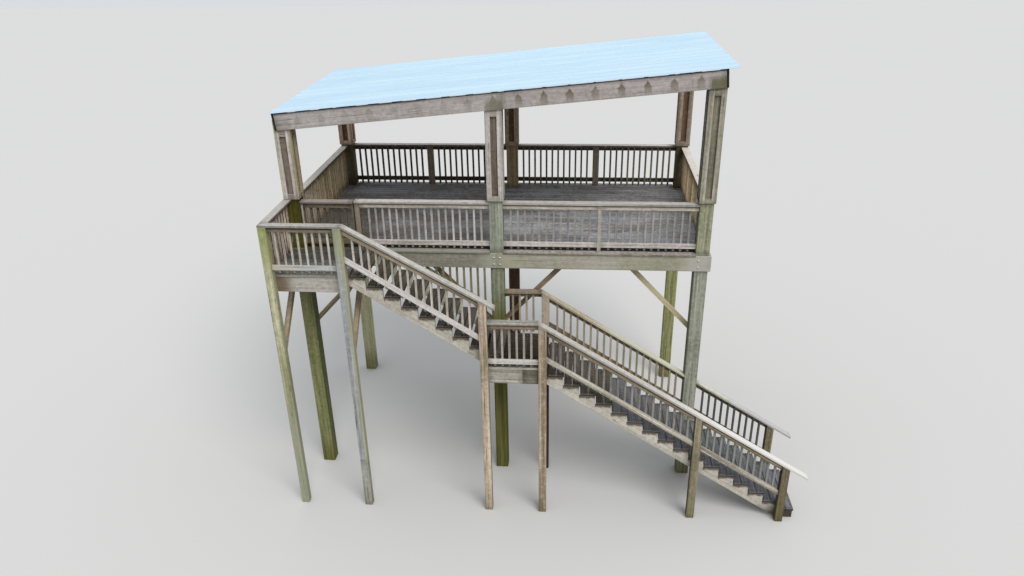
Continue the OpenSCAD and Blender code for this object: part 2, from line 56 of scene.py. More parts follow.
def coat(tree, kind, sockets=None, **settings):
    """Adds one node to a finish."""
    node = tree.nodes.new("ShaderNode" + kind)
    for key, value in settings.items():
        setattr(node, key, value)
    return plug(node, sockets or {})


def calc(operation, *terms):
    """Joins sockets and numbers by one operation."""
    tree = next(term for term in terms if isinstance(term, bpy.types.NodeSocket)).id_data
    return coat(tree, "Math", dict(enumerate(terms)), operation=operation).outputs[0]


OPERATIONS = ("ADD", "SUBTRACT", "MULTIPLY", "MULTIPLY_ADD", "MAXIMUM", "PINGPONG")
plus, minus, times, times_plus, highest, to_and_fro = [partial(calc, name) for name in OPERATIONS]


def ramp(value, low, high, to_low=0.0, to_high=1.0, kind="LINEAR"):
    """Takes a value from one range to another, and holds it at both ends."""
    ranges = {"Value": value, "From Min": low, "From Max": high, "To Min": to_low, "To Max": to_high}
    return coat(value.id_data, "MapRange", ranges, interpolation_type=kind).outputs[0]


between = partial(ramp, kind="SMOOTHSTEP")


def blend(share, under, over):
    """Mixes two colours, each a socket or three numbers."""
    pair = [c if isinstance(c, bpy.types.NodeSocket) else (*c, 1) for c in (under, over)]
    return coat(share.id_data, "Mix", {0: share, 6: pair[0], 7: pair[1]}, data_type="RGBA").outputs[2]


def stretched(vector, **sockets):
    """A position that is scaled, moved or turned."""
    return coat(vector.id_data, "Mapping", {"Vector": vector, **sockets}).outputs[0]


def cloud(vector, scale, detail, rough=0.5, bend=0.0):
    """Soft noise of one scale, or of one for each axis."""
    if isinstance(scale, tuple):
        vector, scale = stretched(vector, Scale=scale), 1.0
    return coat(vector.id_data, "TexNoise", {"Vector": vector, "Scale": scale, "Detail": detail,
                                             "Roughness": rough, "Distortion": bend}).outputs["Fac"]


def axes_of(vector):
    return coat(vector.id_data, "SeparateXYZ", {0: vector}).outputs


def spot_of(finish):
    """The position on the tower at rest, in metres."""
    return coat(finish.node_tree, "TexCoord").outputs["Object"]


def dim(colour, factor):
    return [factor * c for c in colour]


def blank_finish(name):
    finish = bpy.data.materials.new(name)
    finish.use_nodes = True
    return finish


def dress(finish, **sockets):
    """Fills the sockets of a finish's surface, which are named here with _ for a space."""
    plug(finish.node_tree.nodes["Principled BSDF"], {key.replace("_", " "): sockets[key] for key in sockets})


def stain(finish, share, colour):
    """Blends a finish towards a colour by a share that changes over it."""
    skin = finish.node_tree.nodes["Principled BSDF"].inputs["Base Color"]
    dress(finish, Base_Color=blend(share, skin.links[0].from_socket, colour))


def stain_towards(finish, axis, start, end, colour, share, ragged=0.3):
    """Blends a finish towards a colour from one position along an axis to another, with a ragged edge."""
    spot = spot_of(finish)
    place = times_plus(cloud(spot, 9.0, 4), ragged * (end - start), axes_of(spot)[axis])
    drift = 0.5 * ragged * (end - start)
    stain(finish, between(place, start + drift, end + drift, 0, share), colour)


def add_object(name, data):
    thing = bpy.data.objects.new(name, data)
    bpy.context.scene.collection.objects.link(thing)
    return thing


# Viewing angle, floor and light.
# The tower is seen from above its stair, a little to the right of the middle, under
# a soft pale sky on a plain pale floor.
seat_of_view = Vector((1.394, -13.105, 10.367))
turn, dip, tilt = -0.0867, 0.4475, -0.0184
ahead = Vector((math.sin(turn) * math.cos(dip), math.cos(turn) * math.cos(dip), -math.sin(dip)))
aside = Vector((math.cos(turn), -math.sin(turn), 0))
above = aside.cross(ahead)
right = math.cos(tilt) * aside + math.sin(tilt) * above
up = math.cos(tilt) * above - math.sin(tilt) * aside
lens = bpy.data.cameras.new("view")
lens.sensor_width = 36
lens.lens = 27.57
lens.clip_end = 500
camera = add_object("view", lens)
camera.matrix_world = Matrix.Translation(seat_of_view) @ Matrix((right, up, -ahead)).transposed().to_4x4()
bpy.context.scene.camera = camera
bpy.context.scene.view_settings.view_transform = "Standard"


def seen_share(tree):
    """1 where the camera sees a thing, straight or through a mirror or glass, and 0 for its light."""
    rays = coat(tree, "LightPath").outputs
    return highest(highest(rays["Is Camera Ray"], rays["Is Glossy Ray"]), rays["Is Transmission Ray"])


reach = 90
floor_mesh = bpy.data.meshes.new("studio_floor")
floor_mesh.from_pydata([(-reach, -reach, 0), (reach, -reach, 0), (reach, reach, 0), (-reach, reach, 0)],
                       [], [(0, 1, 2, 3)])
studio_floor = add_object("studio_floor", floor_mesh)
floor_paint = blank_finish("studio_floor")
floor_shade = blend(seen_share(floor_paint.node_tree), (0.3, 0.31, 0.29), (0.6, 0.6, 0.59))
dress(floor_paint, Roughness=0.95, Base_Color=floor_shade)
floor_mesh.materials.append(floor_paint)

sky = bpy.data.worlds.new("soft_sky")
bpy.context.scene.world = sky
sky.use_nodes = True
tree = sky.node_tree
height = axes_of(coat(tree, "TexCoord").outputs["Generated"])[2]
strength = coat(tree, "Mix", {0: seen_share(tree), 2: between(height, 0, 1, 0.36, 0.95), 3: 0.75})
plug(tree.nodes["Background"], {"Color": (0.93, 0.96, 1, 1), "Strength": strength.outputs[0]})
sun = bpy.data.lights.new("soft_sun", "SUN")
sun.energy = 2.0
sun.angle = math.radians(35)
sun.color = (1, 0.97, 0.93)
add_object("soft_sun", sun).rotation_euler = (math.radians(42), 0, math.radians(33))

# Main posts.
# Six heavy square posts of green-treated pine, planted in the ground in two rows of three.
# They have gone grey and split along the grain, and are mossy at the foot.
bay = 3.66
bay_depth = 3.66
post = 0.24
half_post = post / 2
post_top = 5.794
half_length, half_depth = 3.78, 1.95


def timber(name, light, dark, grime, grime_share=0.5, damp=(0.13, 0.1, 0.065), damp_share=0.6,
           bleach=(0.5, 0.48, 0.45), bleach_share=0.5, moss=0.0, moss_top=0.35, splits=0.5, knots=0.6,
           end_tone=None, edge_dirt=0.25, mottle=0.35, streaking=1.0, cap_shade=0.0):
    """Weathered sawn timber: grain along each board, its own tone, splits, knots and dirt, and a top colour
    that is real bleaching on most finishes and painted shade on the landings' front rows.
    It is silvered on the outside of the tower. Faces turned in under the roof and deck are partly brown with
    weathering and partly painted shade and light, faces turned down carry painted shade, and the eased edges
    carry a painted highlight."""
    finish = blank_finish(name)
    tree = finish.node_tree
    marks = {key: coat(tree, "Attribute", attribute_name=key).outputs for key in MARKS}
    grain, span = marks["grain"]["Vector"], axes_of(marks["span"]["Vector"])
    tone = marks["tone"]["Fac"]
    surface = coat(tree, "TexCoord").outputs
    spot, normal = surface["Object"], surface["Normal"]
    rise = axes_of(normal)[2]
    outwards = stretched(spot, Location=(0, -bay_depth / 2 / half_depth, 0),
                         Scale=(1 / half_length, 1 / half_depth, 0))
    facing = coat(tree, "VectorMath", {0: normal, 1: outwards}, operation="DOT_PRODUCT").outputs["Value"]
    inside = times(between(facing, -0.1, 0.5, damp_share, 0), between(rise, 0.5, 0.9, 1, 0))

    fibres = cloud(grain, (3.0, 130, 130), 3, 0.65)
    figure = cloud(grain, (0.8, 18, 18), 3, 0.55, 0.8)
    weather = cloud(spot, (0.9, 0.9, 0.6), 5, 0.65)
    streaks = cloud(grain, (0.6, 24, 24), 3, 0.6)
    specks = cloud(spot, (15, 15, 15), 4, 0.75)
    cracks = between(cloud(grain, (0.8, 40, 40), 2, 0.5), 0.66, 0.7, 0, splits)
    cells = coat(tree, "TexVoronoi", {"Vector": stretched(grain, Scale=(1.7, 9, 9)), "Scale": 1.0}).outputs
    rare = coat(tree, "SeparateColor", {"Color": cells["Color"]}).outputs[0]
    knot = times(between(cells["Distance"], 0.09, 0.17, knots, 0), between(rare, 0.7, 0.72))
    from_end = minus(span[1], calc("ABSOLUTE", span[0]))
    end_dirt = between(minus(from_end, times(streaks, 0.12)), -0.03, 0.05, 0.4, 0)
    # Faces turned in: partly real brown weathering, partly painted shade and light for how light falls under
    # the roof and deck.
    weather_and_shade_tone = blend(times(tone, 0.8), damp, dim(damp, 0.4))
    weather_and_shade_tone = blend(between(streaks, 0.4, 0.6), weather_and_shade_tone, dim(damp, 0.5))
    # Upward faces: real bleaching on most finishes, and painted shade where a finish gives its tops a dark
    # colour, as on the landings' front rows.
    top_bleach_and_shade_mask = times(between(rise, 0.55, 0.95, 0, bleach_share), between(weather, 0.35, 0.6, 0.55, 1))

    colour = blend(plus(times(tone, 0.55), between(figure, 0.3, 0.7, 0, 0.55 * streaking)), light, dark)
    layers = [
        (between(streaks, 0.47, 0.34, 0, 0.6 * streaking), [min(1.35 * c, 0.8) for c in light]),
        (between(fibres, 0.5, 0.72, 0, 0.5), dim(dark, 0.45)),
        (between(streaks, 0.52, 0.64, 0, 0.6 * streaking), dim(dark, 0.55)),
        (between(weather, 0.5, 0.68, 0, grime_share), grime),
        (inside, weather_and_shade_tone),
        (top_bleach_and_shade_mask, blend(between(fibres, 0.42, 0.68, 0, 0.45), bleach, dark)),
        (between(specks, 0.52, 0.64, 0, mottle), dim(dark, 0.5)),
        (between(specks, 0.48, 0.37, 0, mottle), [min(1.25 * c, 0.85) for c in light]),
        (between(span[2], -0.1, 0.6, 0, cap_shade), dim(dark, 0.3)),
        # Painted shade on faces turned down.
        (between(rise, -0.4, -0.9, 0, 0.5), dim(dark, 0.4)),
        (knot, dim(dark, 0.35)),
        (cracks, dim(dark, 0.16)),
        (end_dirt, dim(grime, 0.6)),
        (between(calc("ABSOLUTE", span[2]), 0.78, 1, 0, edge_dirt), dim(dark, 0.5)),
        (times(marks["ends"]["Fac"], 0.85 if end_tone else 0.5), end_tone or dim(dark, 0.4)),
        # Painted highlight along the eased edges.
        (times(marks["arris"]["Fac"], 0.3), light)]
    if moss:
        green = blend(between(streaks, 0.4, 0.6), (0.16, 0.155, 0.04), (0.085, 0.085, 0.018))
        ragged = minus(axes_of(spot)[2], weather)
        layers.append((between(ragged, moss_top - 0.8, moss_top, moss, 0), green))
    for share, over in layers:
        colour = blend(share, colour, over)
    bump = coat(tree, "Bump", {"Height": minus(fibres, cracks), "Strength": 0.5, "Distance": 0.004})
    dress(finish, Base_Color=colour, Roughness=between(fibres, 0.3, 0.7, 0.72, 0.95), Specular_IOR_Level=0.2,
          Normal=bump.outputs[0])
    return finish


def timbers(extra, rows, **shared):
    """Timber finishes from a table: name, light, dark, grime, its share, then the settings named in extra."""
    return [timber(*row[:5], **dict(zip(extra.split(), row[5:])), **shared) for row in rows]


# What every board carries for its finish: a kind of value, where it sits, and the name of its field.
MARKS = {"grain": ("FLOAT_VECTOR", "POINT", "vector"), "span": ("FLOAT_VECTOR", "POINT", "vector"),
         "tone": ("FLOAT", "POINT", "value"), "ends": ("FLOAT", "FACE", "value"),
         "arris": ("FLOAT", "FACE", "value")}
boards = []


def cut_board(finish, outline, y0, thick, grain, place=None, ease=0.003, tone=None):
    """Cuts one board: its outline in the XZ plane, from y0 over its thickness, with eased edges."""
    wood = bmesh.new()
    near = [wood.verts.new((x, y0, z)) for x, z in outline]
    far = [wood.verts.new((x, y0 + thick, z)) for x, z in outline]
    sides = [(near[i - 1], near[i], far[i], far[i - 1]) for i in range(len(outline))]
    for corners in [near, far, *sides]:
        wood.faces.new(corners)
    bmesh.ops.recalc_face_normals(wood, faces=wood.faces)
    sawn = [f.normal.copy() for f in wood.faces]
    bmesh.ops.bevel(wood, geom=wood.edges[:], offset=ease, segments=1, affect="EDGES", clamp_overlap=True)
    wood.verts.index_update()
    length = Vector(grain).normalized()
    girth = Vector(ALONG) if abs(length.y) > 0.5 else Vector(ACROSS)
    shift = [dice.uniform(0, 40) for _ in range(3)]
    along, *sideways = [[v.co.dot(axis) for v in wood.verts] for axis in (length, girth, length.cross(girth))]
    across = max(sideways, key=lambda values: max(values) - min(values))
    middle, half = (max(along) + min(along)) / 2, (max(along) - min(along)) / 2
    centre, spread = (max(across) + min(across)) / 2, (max(across) - min(across)) / 2
    tone = dice.random() if tone is None else tone
    marks = {"grain": [c + s for corner in zip(along, *sideways) for c, s in zip(corner, shift)],
             "span": [c for a, b in zip(along, across) for c in (a - middle, half, (b - centre) / spread)],
             "tone": [tone] * len(wood.verts),
             "ends": [float(abs(f.normal.dot(length)) > 0.6) for f in wood.faces],
             "arris": [float(max(f.normal.dot(n) for n in sawn) < 0.99) for f in wood.faces]}
    spots = [(place or Matrix()) @ v.co for v in wood.verts]
    boards.append((finish, spots, [[v.index for v in f.verts] for f in wood.faces], marks))
    wood.free()


def box_board(finish, low, high, grain, place=None, ease=0.003, tone=None):
    """Cuts a square board between two corners."""
    outline = [(low[0], low[2]), (high[0], low[2]), (high[0], high[2]), (low[0], high[2])]
    cut_board(finish, outline, low[1], high[1] - low[1], grain, place, ease, tone)


def make_piece(name, spots, faces, finishes, slot, body):
    mesh = bpy.data.meshes.new(name)
    mesh.from_pydata(spots, [], faces)
    for finish in finishes:
        mesh.materials.append(finish)
    piece = add_object(name, mesh)
    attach(piece, body)
    return piece


def fix_piece(name, slot, *nodes, body="tower"):
    """Joins the boards cut since the last piece into one, which stands for its CAD nodes."""
    spots, faces, picks, finishes = [], [], [], []
    for finish, corners, sides, _ in boards:
        faces += [[len(spots) + i for i in side] for side in sides]
        spots += corners
        if finish not in finishes:
            finishes.append(finish)
        picks += [finishes.index(finish)] * len(sides)
    piece = make_piece(name, spots, faces, finishes, slot, body)
    piece.data.polygons.foreach_set("material_index", picks)
    for key, (kind, domain, field) in MARKS.items():
        values = [value for *_, marks in boards for value in marks[key]]
        piece.data.attributes.new(key, kind, domain).data.foreach_set(field, values)
    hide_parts(*nodes)
    boards.clear()


def stand_post(finish, x, y, side, top, slope=0.0, foot=0.0, tone=None):
    """Cuts a square post centred on x, y, its top to the slope of a handrail over it."""
    h = side / 2
    outline = [(x - h, foot), (x + h, foot), (x + h, top - slope * h), (x - h, top + slope * h)]
    cut_board(finish, outline, y - h, side, UPRIGHT, ease=0.008, tone=tone)


def post_finish(name, light, moss=0.7, moss_top=0.35, share=0.5, damp=None):
    """The timber finish of one post, its darker tones taken from its light one."""
    return timber(name, light, dim(light, 0.6), dim(light, 0.42), share, damp or dim(light, 0.4), moss=moss,
                  moss_top=moss_top, splits=0.9)


post_finishes = {
    (-1, 0): post_finish("olive_post", (0.27, 0.28, 0.125)),
    (0, 0): post_finish("mossy_middle_post", (0.385, 0.41, 0.29), 0.97, 3.6),
    (1, 0): post_finish("silvered_post", (0.41, 0.425, 0.34), damp=(0.13, 0.125, 0.06)),
    (-1, 1): post_finish("yellow_green_post", (0.85, 0.82, 0.5), damp=(0.9, 0.88, 0.5)),
    (0, 1): post_finish("brown_middle_post", (0.19, 0.12, 0.075), 0.3, damp=(0.15, 0.085, 0.05)),
    (1, 1): post_finish("green_post", (0.5, 0.51, 0.25), damp=(0.48, 0.485, 0.22))}
head_finishes = {
    (-1, 0): post_finish("olive_post_head", (0.11, 0.098, 0.016), 0),
    (0, 0): post_finish("grey_post_head", (0.48, 0.51, 0.41), 0),
    (1, 0): post_finish("right_post_head", (0.43, 0.435, 0.29), 0),
    (0, 1): post_finish("tan_post_head", (0.6, 0.47, 0.26), 0, damp=(0.7, 0.54, 0.3))}
brown_head = post_finish("sheltered_post_heads", (0.22, 0.19, 0.1), 0)
deck = 4.849
for row, y in (("front", 0), ("back", bay_depth)):
    for i in (-1, 0, 1):
        stand_post(post_finishes[i, y > 0], i * bay, y, post, deck)
        stand_post(head_finishes.get((i, y > 0), brown_head), i * bay, y, post, post_top, foot=deck)
    fix_piece(f"{row}_posts", "treated_post", f"main_posts_{row}")

# Boxed columns.
# Above the guards each post carries on inside a box of boards: a core, two wide strips up
# every face, and a band at the foot and the head, nailed on.
column = 0.29
strip = 0.089
sunk = 0.038
band_foot = 0.089
band_head = 0.12
purlin_foot = 0.12
roof_mid = 7.69
roof_fall = math.radians(5.5)
beam_depth = 0.286
back_strip = ((0.6, 0.555, 0.51), (0.38, 0.335, 0.285), (0.25, 0.21, 0.165), 0.5)
(column_strips, lilac_strips, brown_strips, back_strips, warm_back_strips,
 olive_strips) = timbers("damp damp_share", (
    ("column_strips", (0.68, 0.63, 0.61), (0.48, 0.43, 0.39), (0.34, 0.3, 0.235), 0.5,
     (0.3, 0.21, 0.13), 0.85),
    ("lilac_column_strips", (0.61, 0.56, 0.54), (0.41, 0.36, 0.33), (0.26, 0.22, 0.17), 0.5,
     (0.3, 0.21, 0.12), 0.9),
    ("brown_column_strips", (0.64, 0.58, 0.41), (0.4, 0.35, 0.23), (0.22, 0.18, 0.11), 0.5,
     (0.85, 0.67, 0.42), 0.9),
    ("back_column_strips", *back_strip, (0.5, 0.385, 0.275), 0.92),
    ("warm_back_strips", *back_strip, (0.98, 0.7, 0.46), 0.92),
    ("olive_column_strips", (0.5, 0.475, 0.395), (0.31, 0.29, 0.21), (0.18, 0.16, 0.1), 0.5,
     (0.035, 0.03, 0.02), 0.95)
), splits=0.6)
pale_strips = timber("pale_column_strip", (0.69, 0.73, 0.51), (0.5, 0.52, 0.35), (0.28, 0.28, 0.17), 0.4)
column_core, tan_core, olive_core, back_core = timbers("damp damp_share", (
    ("column_core", (0.27, 0.22, 0.19), (0.15, 0.115, 0.09), (0.09, 0.07, 0.05), 0.5,
     (0.07, 0.045, 0.027), 0.85),
    ("tan_column_core", (0.33, 0.27, 0.225), (0.2, 0.16, 0.125), (0.13, 0.105, 0.075), 0.5,
     (0.07, 0.045, 0.027), 0.85),
    ("olive_column_core", (0.38, 0.36, 0.28), (0.24, 0.22, 0.155), (0.15, 0.13, 0.09), 0.5,
     (0.035, 0.03, 0.02), 0.9),
    ("back_column_core", (0.35, 0.24, 0.15), (0.22, 0.14, 0.08), (0.13, 0.09, 0.05), 0.5,
     (0.28, 0.17, 0.095), 0.9)))


def roof_line(x):
    """Height of the roof beams' top edge at x."""
    return roof_mid + x * math.tan(roof_fall)


columns = {("front", -1): (lilac_strips, tan_core), ("front", 0): (column_strips, column_core),
           ("front", 1): (olive_strips, olive_core), ("back", 1): (back_strips, back_core)}
special_strips = {("front", -1, 3, False): pale_strips, ("front", -1, 1, True): brown_strips,
                  ("front", -1, 1, False): brown_strips}
under_purlins = purlin_foot / math.cos(roof_fall)
for row, y in (("front", 0), ("back", bay_depth)):
    for i in (-1, 0, 1):
        strips, core = columns.get((row, i), (warm_back_strips, back_core))
        x = i * bay
        h, inner = column / 2, column / 2 - sunk
        core_top = roof_line(x - inner) - under_purlins
        rise = math.tan(roof_fall) * 2 * inner
        cut_board(core, [(x - inner, post_top), (x + inner, post_top), (x + inner, core_top + rise),
                         (x - inner, core_top)], y - inner, 2 * inner, UPRIGHT)
        for quarter in range(4):
            face = Matrix.Translation((x, y, 0)) @ Matrix.Rotation(quarter * math.pi / 2, 4, "Z")
            ends = [roof_line((face @ Vector((u, 0, 0))).x) - under_purlins for u in (-h, h)]
            lap = 0.0 if quarter % 2 else sunk

            def at(u):
                return ends[0] + (ends[1] - ends[0]) * (u + h) / (2 * h)

            for a, b in ((-h + lap, -h + strip), (h - strip, h - lap)):
                finish = special_strips.get((row, i, quarter, a < 0), strips)
                cut_board(finish, [(a, post_top), (b, post_top), (b, at(b)), (a, at(a))], -h, sunk,
                          UPRIGHT, face)
            a, b = -h + strip, h - strip
            box_board(strips, (a, -h, post_top), (b, -h + sunk, post_top + band_foot), ALONG, face)
            head = roof_line(x) - beam_depth / math.cos(roof_fall) - band_head
            cut_board(strips, [(a, head), (b, head), (b, at(b)), (a, at(a))], -h, sunk, ALONG, face)
    fix_piece(f"{row}_boxed_columns", "column_wood", f"columns_{row}")

# Deck frame.
# Wide boards bolted to both faces of the posts, closed at the ends by rims, with joists
# between them on edge.
board = 0.038
frame_top = deck - board
beam_low = frame_top - beam_depth
outer = bay + half_post + board
beam_face = -half_post - board
joist = 0.235
joist_spacing = 0.406
hair = 0.001
bolt_radius, bolt_height, washer_radius = 0.015, 0.01, 0.022
bolt_aside, bolt_inwards, bolt_drops = 0.055, 0.07, (0.085, 0.215)
beam_timber, olive_beam = timbers("mottle", (
    ("deck_beams", (0.5, 0.465, 0.395), (0.27, 0.26, 0.2), (0.3, 0.3, 0.2), 0.7, 0.2),
    ("left_deck_beam", (0.41, 0.385, 0.325), (0.225, 0.215, 0.165), (0.24, 0.24, 0.16), 0.7, 0.3)),
                                  streaking=0.4)
stain_towards(olive_beam, 0, -0.4, -0.12, (0.4, 0.4, 0.33), 0.8)
stain_towards(beam_timber, 0, 0.7, 0.1, (0.38, 0.38, 0.25), 0.5)
stain_towards(beam_timber, 0, bay - 0.4, bay - 0.15, (0.48, 0.465, 0.42), 0.65)
frame_timber = timber("inner_framing", (0.42, 0.34, 0.22), (0.26, 0.2, 0.12), (0.14, 0.11, 0.07), 0.4)
steel = blank_finish("galvanised_steel")
patina = cloud(spot_of(steel), 120.0, 4)
dress(steel, Base_Color=blend(ramp(patina, 0.4, 0.65), (0.62, 0.63, 0.63), (0.36, 0.35, 0.33)),
      Roughness=ramp(patina, 0, 1, 0.35, 0.65), Metallic=0.7)


def dome(fixings, centre, facing, radius=0.0045, height=0.0012, washer=0.0, sides=6):
    """Adds the domed head of a screw, or of a bolt with a washer under it."""
    spots, faces = fixings
    facing = Vector(facing)
    u = facing.orthogonal().normalized()
    v = facing.cross(u)
    rings = [(washer, 0.0), (washer, 0.003), (radius, 0.003)] if washer else [(radius, 0.0)]
    rings += [(0.94 * radius, 0.45 * height), (0.6 * radius, 0.9 * height)]
    first = len(spots)
    for r, lift in rings:
        for k in range(sides):
            a = 2 * math.pi * k / sides
            spots.append(Vector(centre) + r * (math.cos(a) * u + math.sin(a) * v) + lift * facing)
    last = len(spots) - sides
    for start in range(first, last, sides):
        for k in range(sides):
            a, b = start + k, start + (k + 1) % sides
            faces.append([a, b, b + sides, a + sides])
    faces.append(list(range(last, last + sides)))


def fix_heads(name, fixings):
    """Makes a set of bolt or screw heads into one piece."""
    heads = make_piece(name, *fixings, [steel], "hinge_steel", "tower")
    heads.data.polygons.foreach_set("use_smooth", [True] * len(heads.data.polygons))


def joist_lines(a, b):
    """Centres of the joists between two rims, evenly spaced."""
    count = max(1, round((b - a) / joist_spacing) - 1)
    return [a + (b - a) * (i + 1) / (count + 1) for i in range(count)]


def set_across(finish, lefts, y0, y1, top, depth):
    """Sets boards on edge from front to back, with their left faces at the given places."""
    for x in lefts:
        box_board(finish, (x, y0, top - depth), (x + board, y1, top), ACROSS)


def lay_joists(name, node, lines, y0, y1, top):
    set_across(frame_timber, [x - board / 2 for x in lines], y0, y1, top, joist)
    fix_piece(name, "framing_wood", node)


for y in (beam_face, bay_depth + half_post):
    for a, b, finish, tone in ((-outer, -hair, olive_beam, 0.95), (hair, outer, beam_timber, 0.1)):
        box_board(finish, (a, y, beam_low), (b, y + board, frame_top), ALONG, tone=tone)
fix_piece("outer_deck_beams", "beam_wood", "deck_beams_outer")
for y in (half_post, bay_depth - half_post - board):
    box_board(frame_timber, (-bay - half_post, y, beam_low), (bay + half_post, y + board, frame_top), ALONG)
fix_piece("inner_deck_beams", "framing_wood", "deck_beams_inner")
set_across(beam_timber, (-outer, outer - board), -half_post, bay_depth + half_post, frame_top, beam_depth)
fix_piece("deck_rims", "beam_wood", "deck_side_rims")
deck_joist_lines = joist_lines(-bay - half_post, bay + half_post)
lay_joists("deck_joists_on_edge", "deck_joists", deck_joist_lines, half_post + board,
           bay_depth - half_post - board, frame_top)
bolts = ([], [])
for i in (-1, 0, 1):
    for y, facing in ((beam_face, -1), (bay_depth + half_post + board, 1)):
        for dx in (-bolt_aside, bolt_aside) if i == 0 else (-bolt_inwards * i,):
            for drop in bolt_drops:
                dome(bolts, (i * bay + dx, y, frame_top - drop), (0, facing, 0), bolt_radius, bolt_height,
                     washer_radius, 10)
fix_heads("beam_bolts", bolts)

# Decking.
# Boards laid along the front with a narrow gap, cut round the posts and screwed down at
# every joist. They have gone dark and purplish grey under feet and rain.
gap = 0.005
deck_lip = 0.02
board_cover = 0.145
past_post = 0.06
narrowest = 0.02
screw_in = 0.03
decking, dark_decking, black_decking = timbers("bleach bleach_share splits knots edge_dirt mottle", (
    ("decking", (0.6, 0.61, 0.64), (0.2, 0.195, 0.2), (0.14, 0.12, 0.11), 0.5, (0.56, 0.57, 0.6), 0.35,
     0.35, 0.4, 0.55, 0.55),
    ("landing_boards", (0.45, 0.47, 0.49), (0.16, 0.16, 0.165), (0.08, 0.075, 0.065), 0.5,
     (0.4, 0.43, 0.45), 0.3, 0.35, 0.6, 0.6, 0.55),
    ("middle_landing_boards", (0.065, 0.056, 0.04), (0.026, 0.022, 0.016), (0.018, 0.015, 0.01), 0.5,
     (0.055, 0.05, 0.038), 0.3, 0.5, 0.6, 0.6, 0.5)))
spot = spot_of(decking)
axes = axes_of(spot)
worn = cloud(spot, (0.9, 2.4, 1), 4)
stain(decking, ramp(worn, 0.5, 0.66, 0, 0.5), (0.16, 0.13, 0.12))
stain(decking, ramp(worn, 0.48, 0.34, 0, 0.5), (0.55, 0.58, 0.63))
# Painted shade towards the back of the deck under the roof and in its back left corner; the left bay is
# darker as well.
left_and_back = highest(ramp(axes[0], 0.05, -0.3, 0, 0.42), ramp(axes[1], 1.6, 2.9, 0, 0.36))
corner = times(ramp(axes[0], -2.15, -2.6, 0, 0.75), ramp(axes[1], 3.0, 2.4))
stain(decking, highest(left_and_back, corner), (0.08, 0.058, 0.03))
stain_towards(dark_decking, 1, -1.0, -0.55, (0.03, 0.027, 0.02), 0.8)
# Painted shade: the row of deck boards under the front guards is near black, as the shadow under their bottom
# rails.
shaded_guard_row = timber("boards_under_the_guards", (0.05, 0.043, 0.035), (0.03, 0.025, 0.02),
                      (0.02, 0.017, 0.013), bleach_share=0.0, splits=0.2)
edge_boards = timber("outermost_boards", (0.4, 0.37, 0.33), (0.26, 0.24, 0.2), (0.16, 0.14, 0.105), 0.4,
                     bleach=(0.38, 0.36, 0.325), damp_share=0.2, mottle=0.7)
stain_towards(edge_boards, 0, 0.05, -0.25, (0.3, 0.3, 0.25), 0.65)
stain_towards(edge_boards, 0, -2.1, -2.35, (0.06, 0.048, 0.035), 0.9)
# Painted shade: the front rows of the top and middle landings get a dark top colour, standing for the shadow
# under their guards' bottom rails.
landing_edge, shaded_edge = timbers("bleach bleach_share", (
    ("landing_edge_boards", (0.5, 0.47, 0.43), (0.35, 0.32, 0.28), (0.24, 0.21, 0.17), 0.4,
     (0.13, 0.12, 0.11), 0.9),
    ("dirty_edge_boards", (0.6, 0.57, 0.5), (0.42, 0.39, 0.33), (0.28, 0.25, 0.2), 0.4,
     (0.03, 0.027, 0.023), 1.0)))
screws = ([], [])


def lay_boards(finishes, x0, x1, y0, y1, top, holes, joints=(), lines=()):
    """Lays boards along X from y0 to y1, notched round the posts given as squares, and screws them. The
    outermost rows stop at the posts. The last of the finishes goes on from its row to the end."""
    count = round((y1 - y0) / board_cover)
    pitch = (y1 - y0 + gap) / count
    for row in range(count):
        a, b = y0 + row * pitch, y0 + (row + 1) * pitch - gap
        cuts = [x0] + ([joints[row % len(joints)]] if joints else []) + [x1]
        finish = finishes[min(row, len(finishes) - 1)]
        for left, right_end in zip(cuts, cuts[1:]):
            tone = dice.uniform(0.55, 1) if left + right_end < 0 else dice.uniform(0, 0.45)
            spans = [(left + (hair if left != x0 else 0), right_end - (hair if right_end != x1 else 0))]
            for hx, hy, h in holes:
                if a >= hy + h or b <= hy - h:
                    continue
                before, behind = (a, hy - h - hair, row == 0), (hy + h + hair, b, row == count - 1)
                kept = []
                for s, e in spans:
                    if hx + h <= s or hx - h >= e:
                        kept.append((s, e))
                        continue
                    if s < hx - h:
                        kept.append((s, hx - h - hair))
                    if e > hx + h:
                        kept.append((hx + h + hair, e))
                    for low, high, outermost in (before, behind):
                        if high - low > narrowest and not outermost:
                            box_board(finish, (max(s, hx - h), low, top - board), (min(e, hx + h), high, top),
                                      ALONG, tone=tone)
                spans = kept
            for s, e in spans:
                if e - s > past_post:
                    box_board(finish, (s, a, top - board), (e, b, top), ALONG, ease=0.004, tone=tone)
            for x in lines:
                if left + narrowest < x < right_end - narrowest:
                    for y in (a + screw_in, b - screw_in):
                        if not any(abs(x - hx) < h and abs(y - hy) < h + past_post for hx, hy, h in holes):
                            dome(screws, (x, y, top), UPRIGHT)


deck_edge = beam_face - deck_lip
lay_boards((edge_boards, shaded_guard_row, decking), -outer - deck_lip, outer + deck_lip, deck_edge,
           bay_depth - deck_edge, deck, [(i * bay, y, half_post) for i in (-1, 0, 1) for y in (0, bay_depth)],
           [deck_joist_lines[k] for k in (6, 11, 3, 14)], deck_joist_lines)
fix_piece("deck_boards", "floor_boards", "deck_floor")

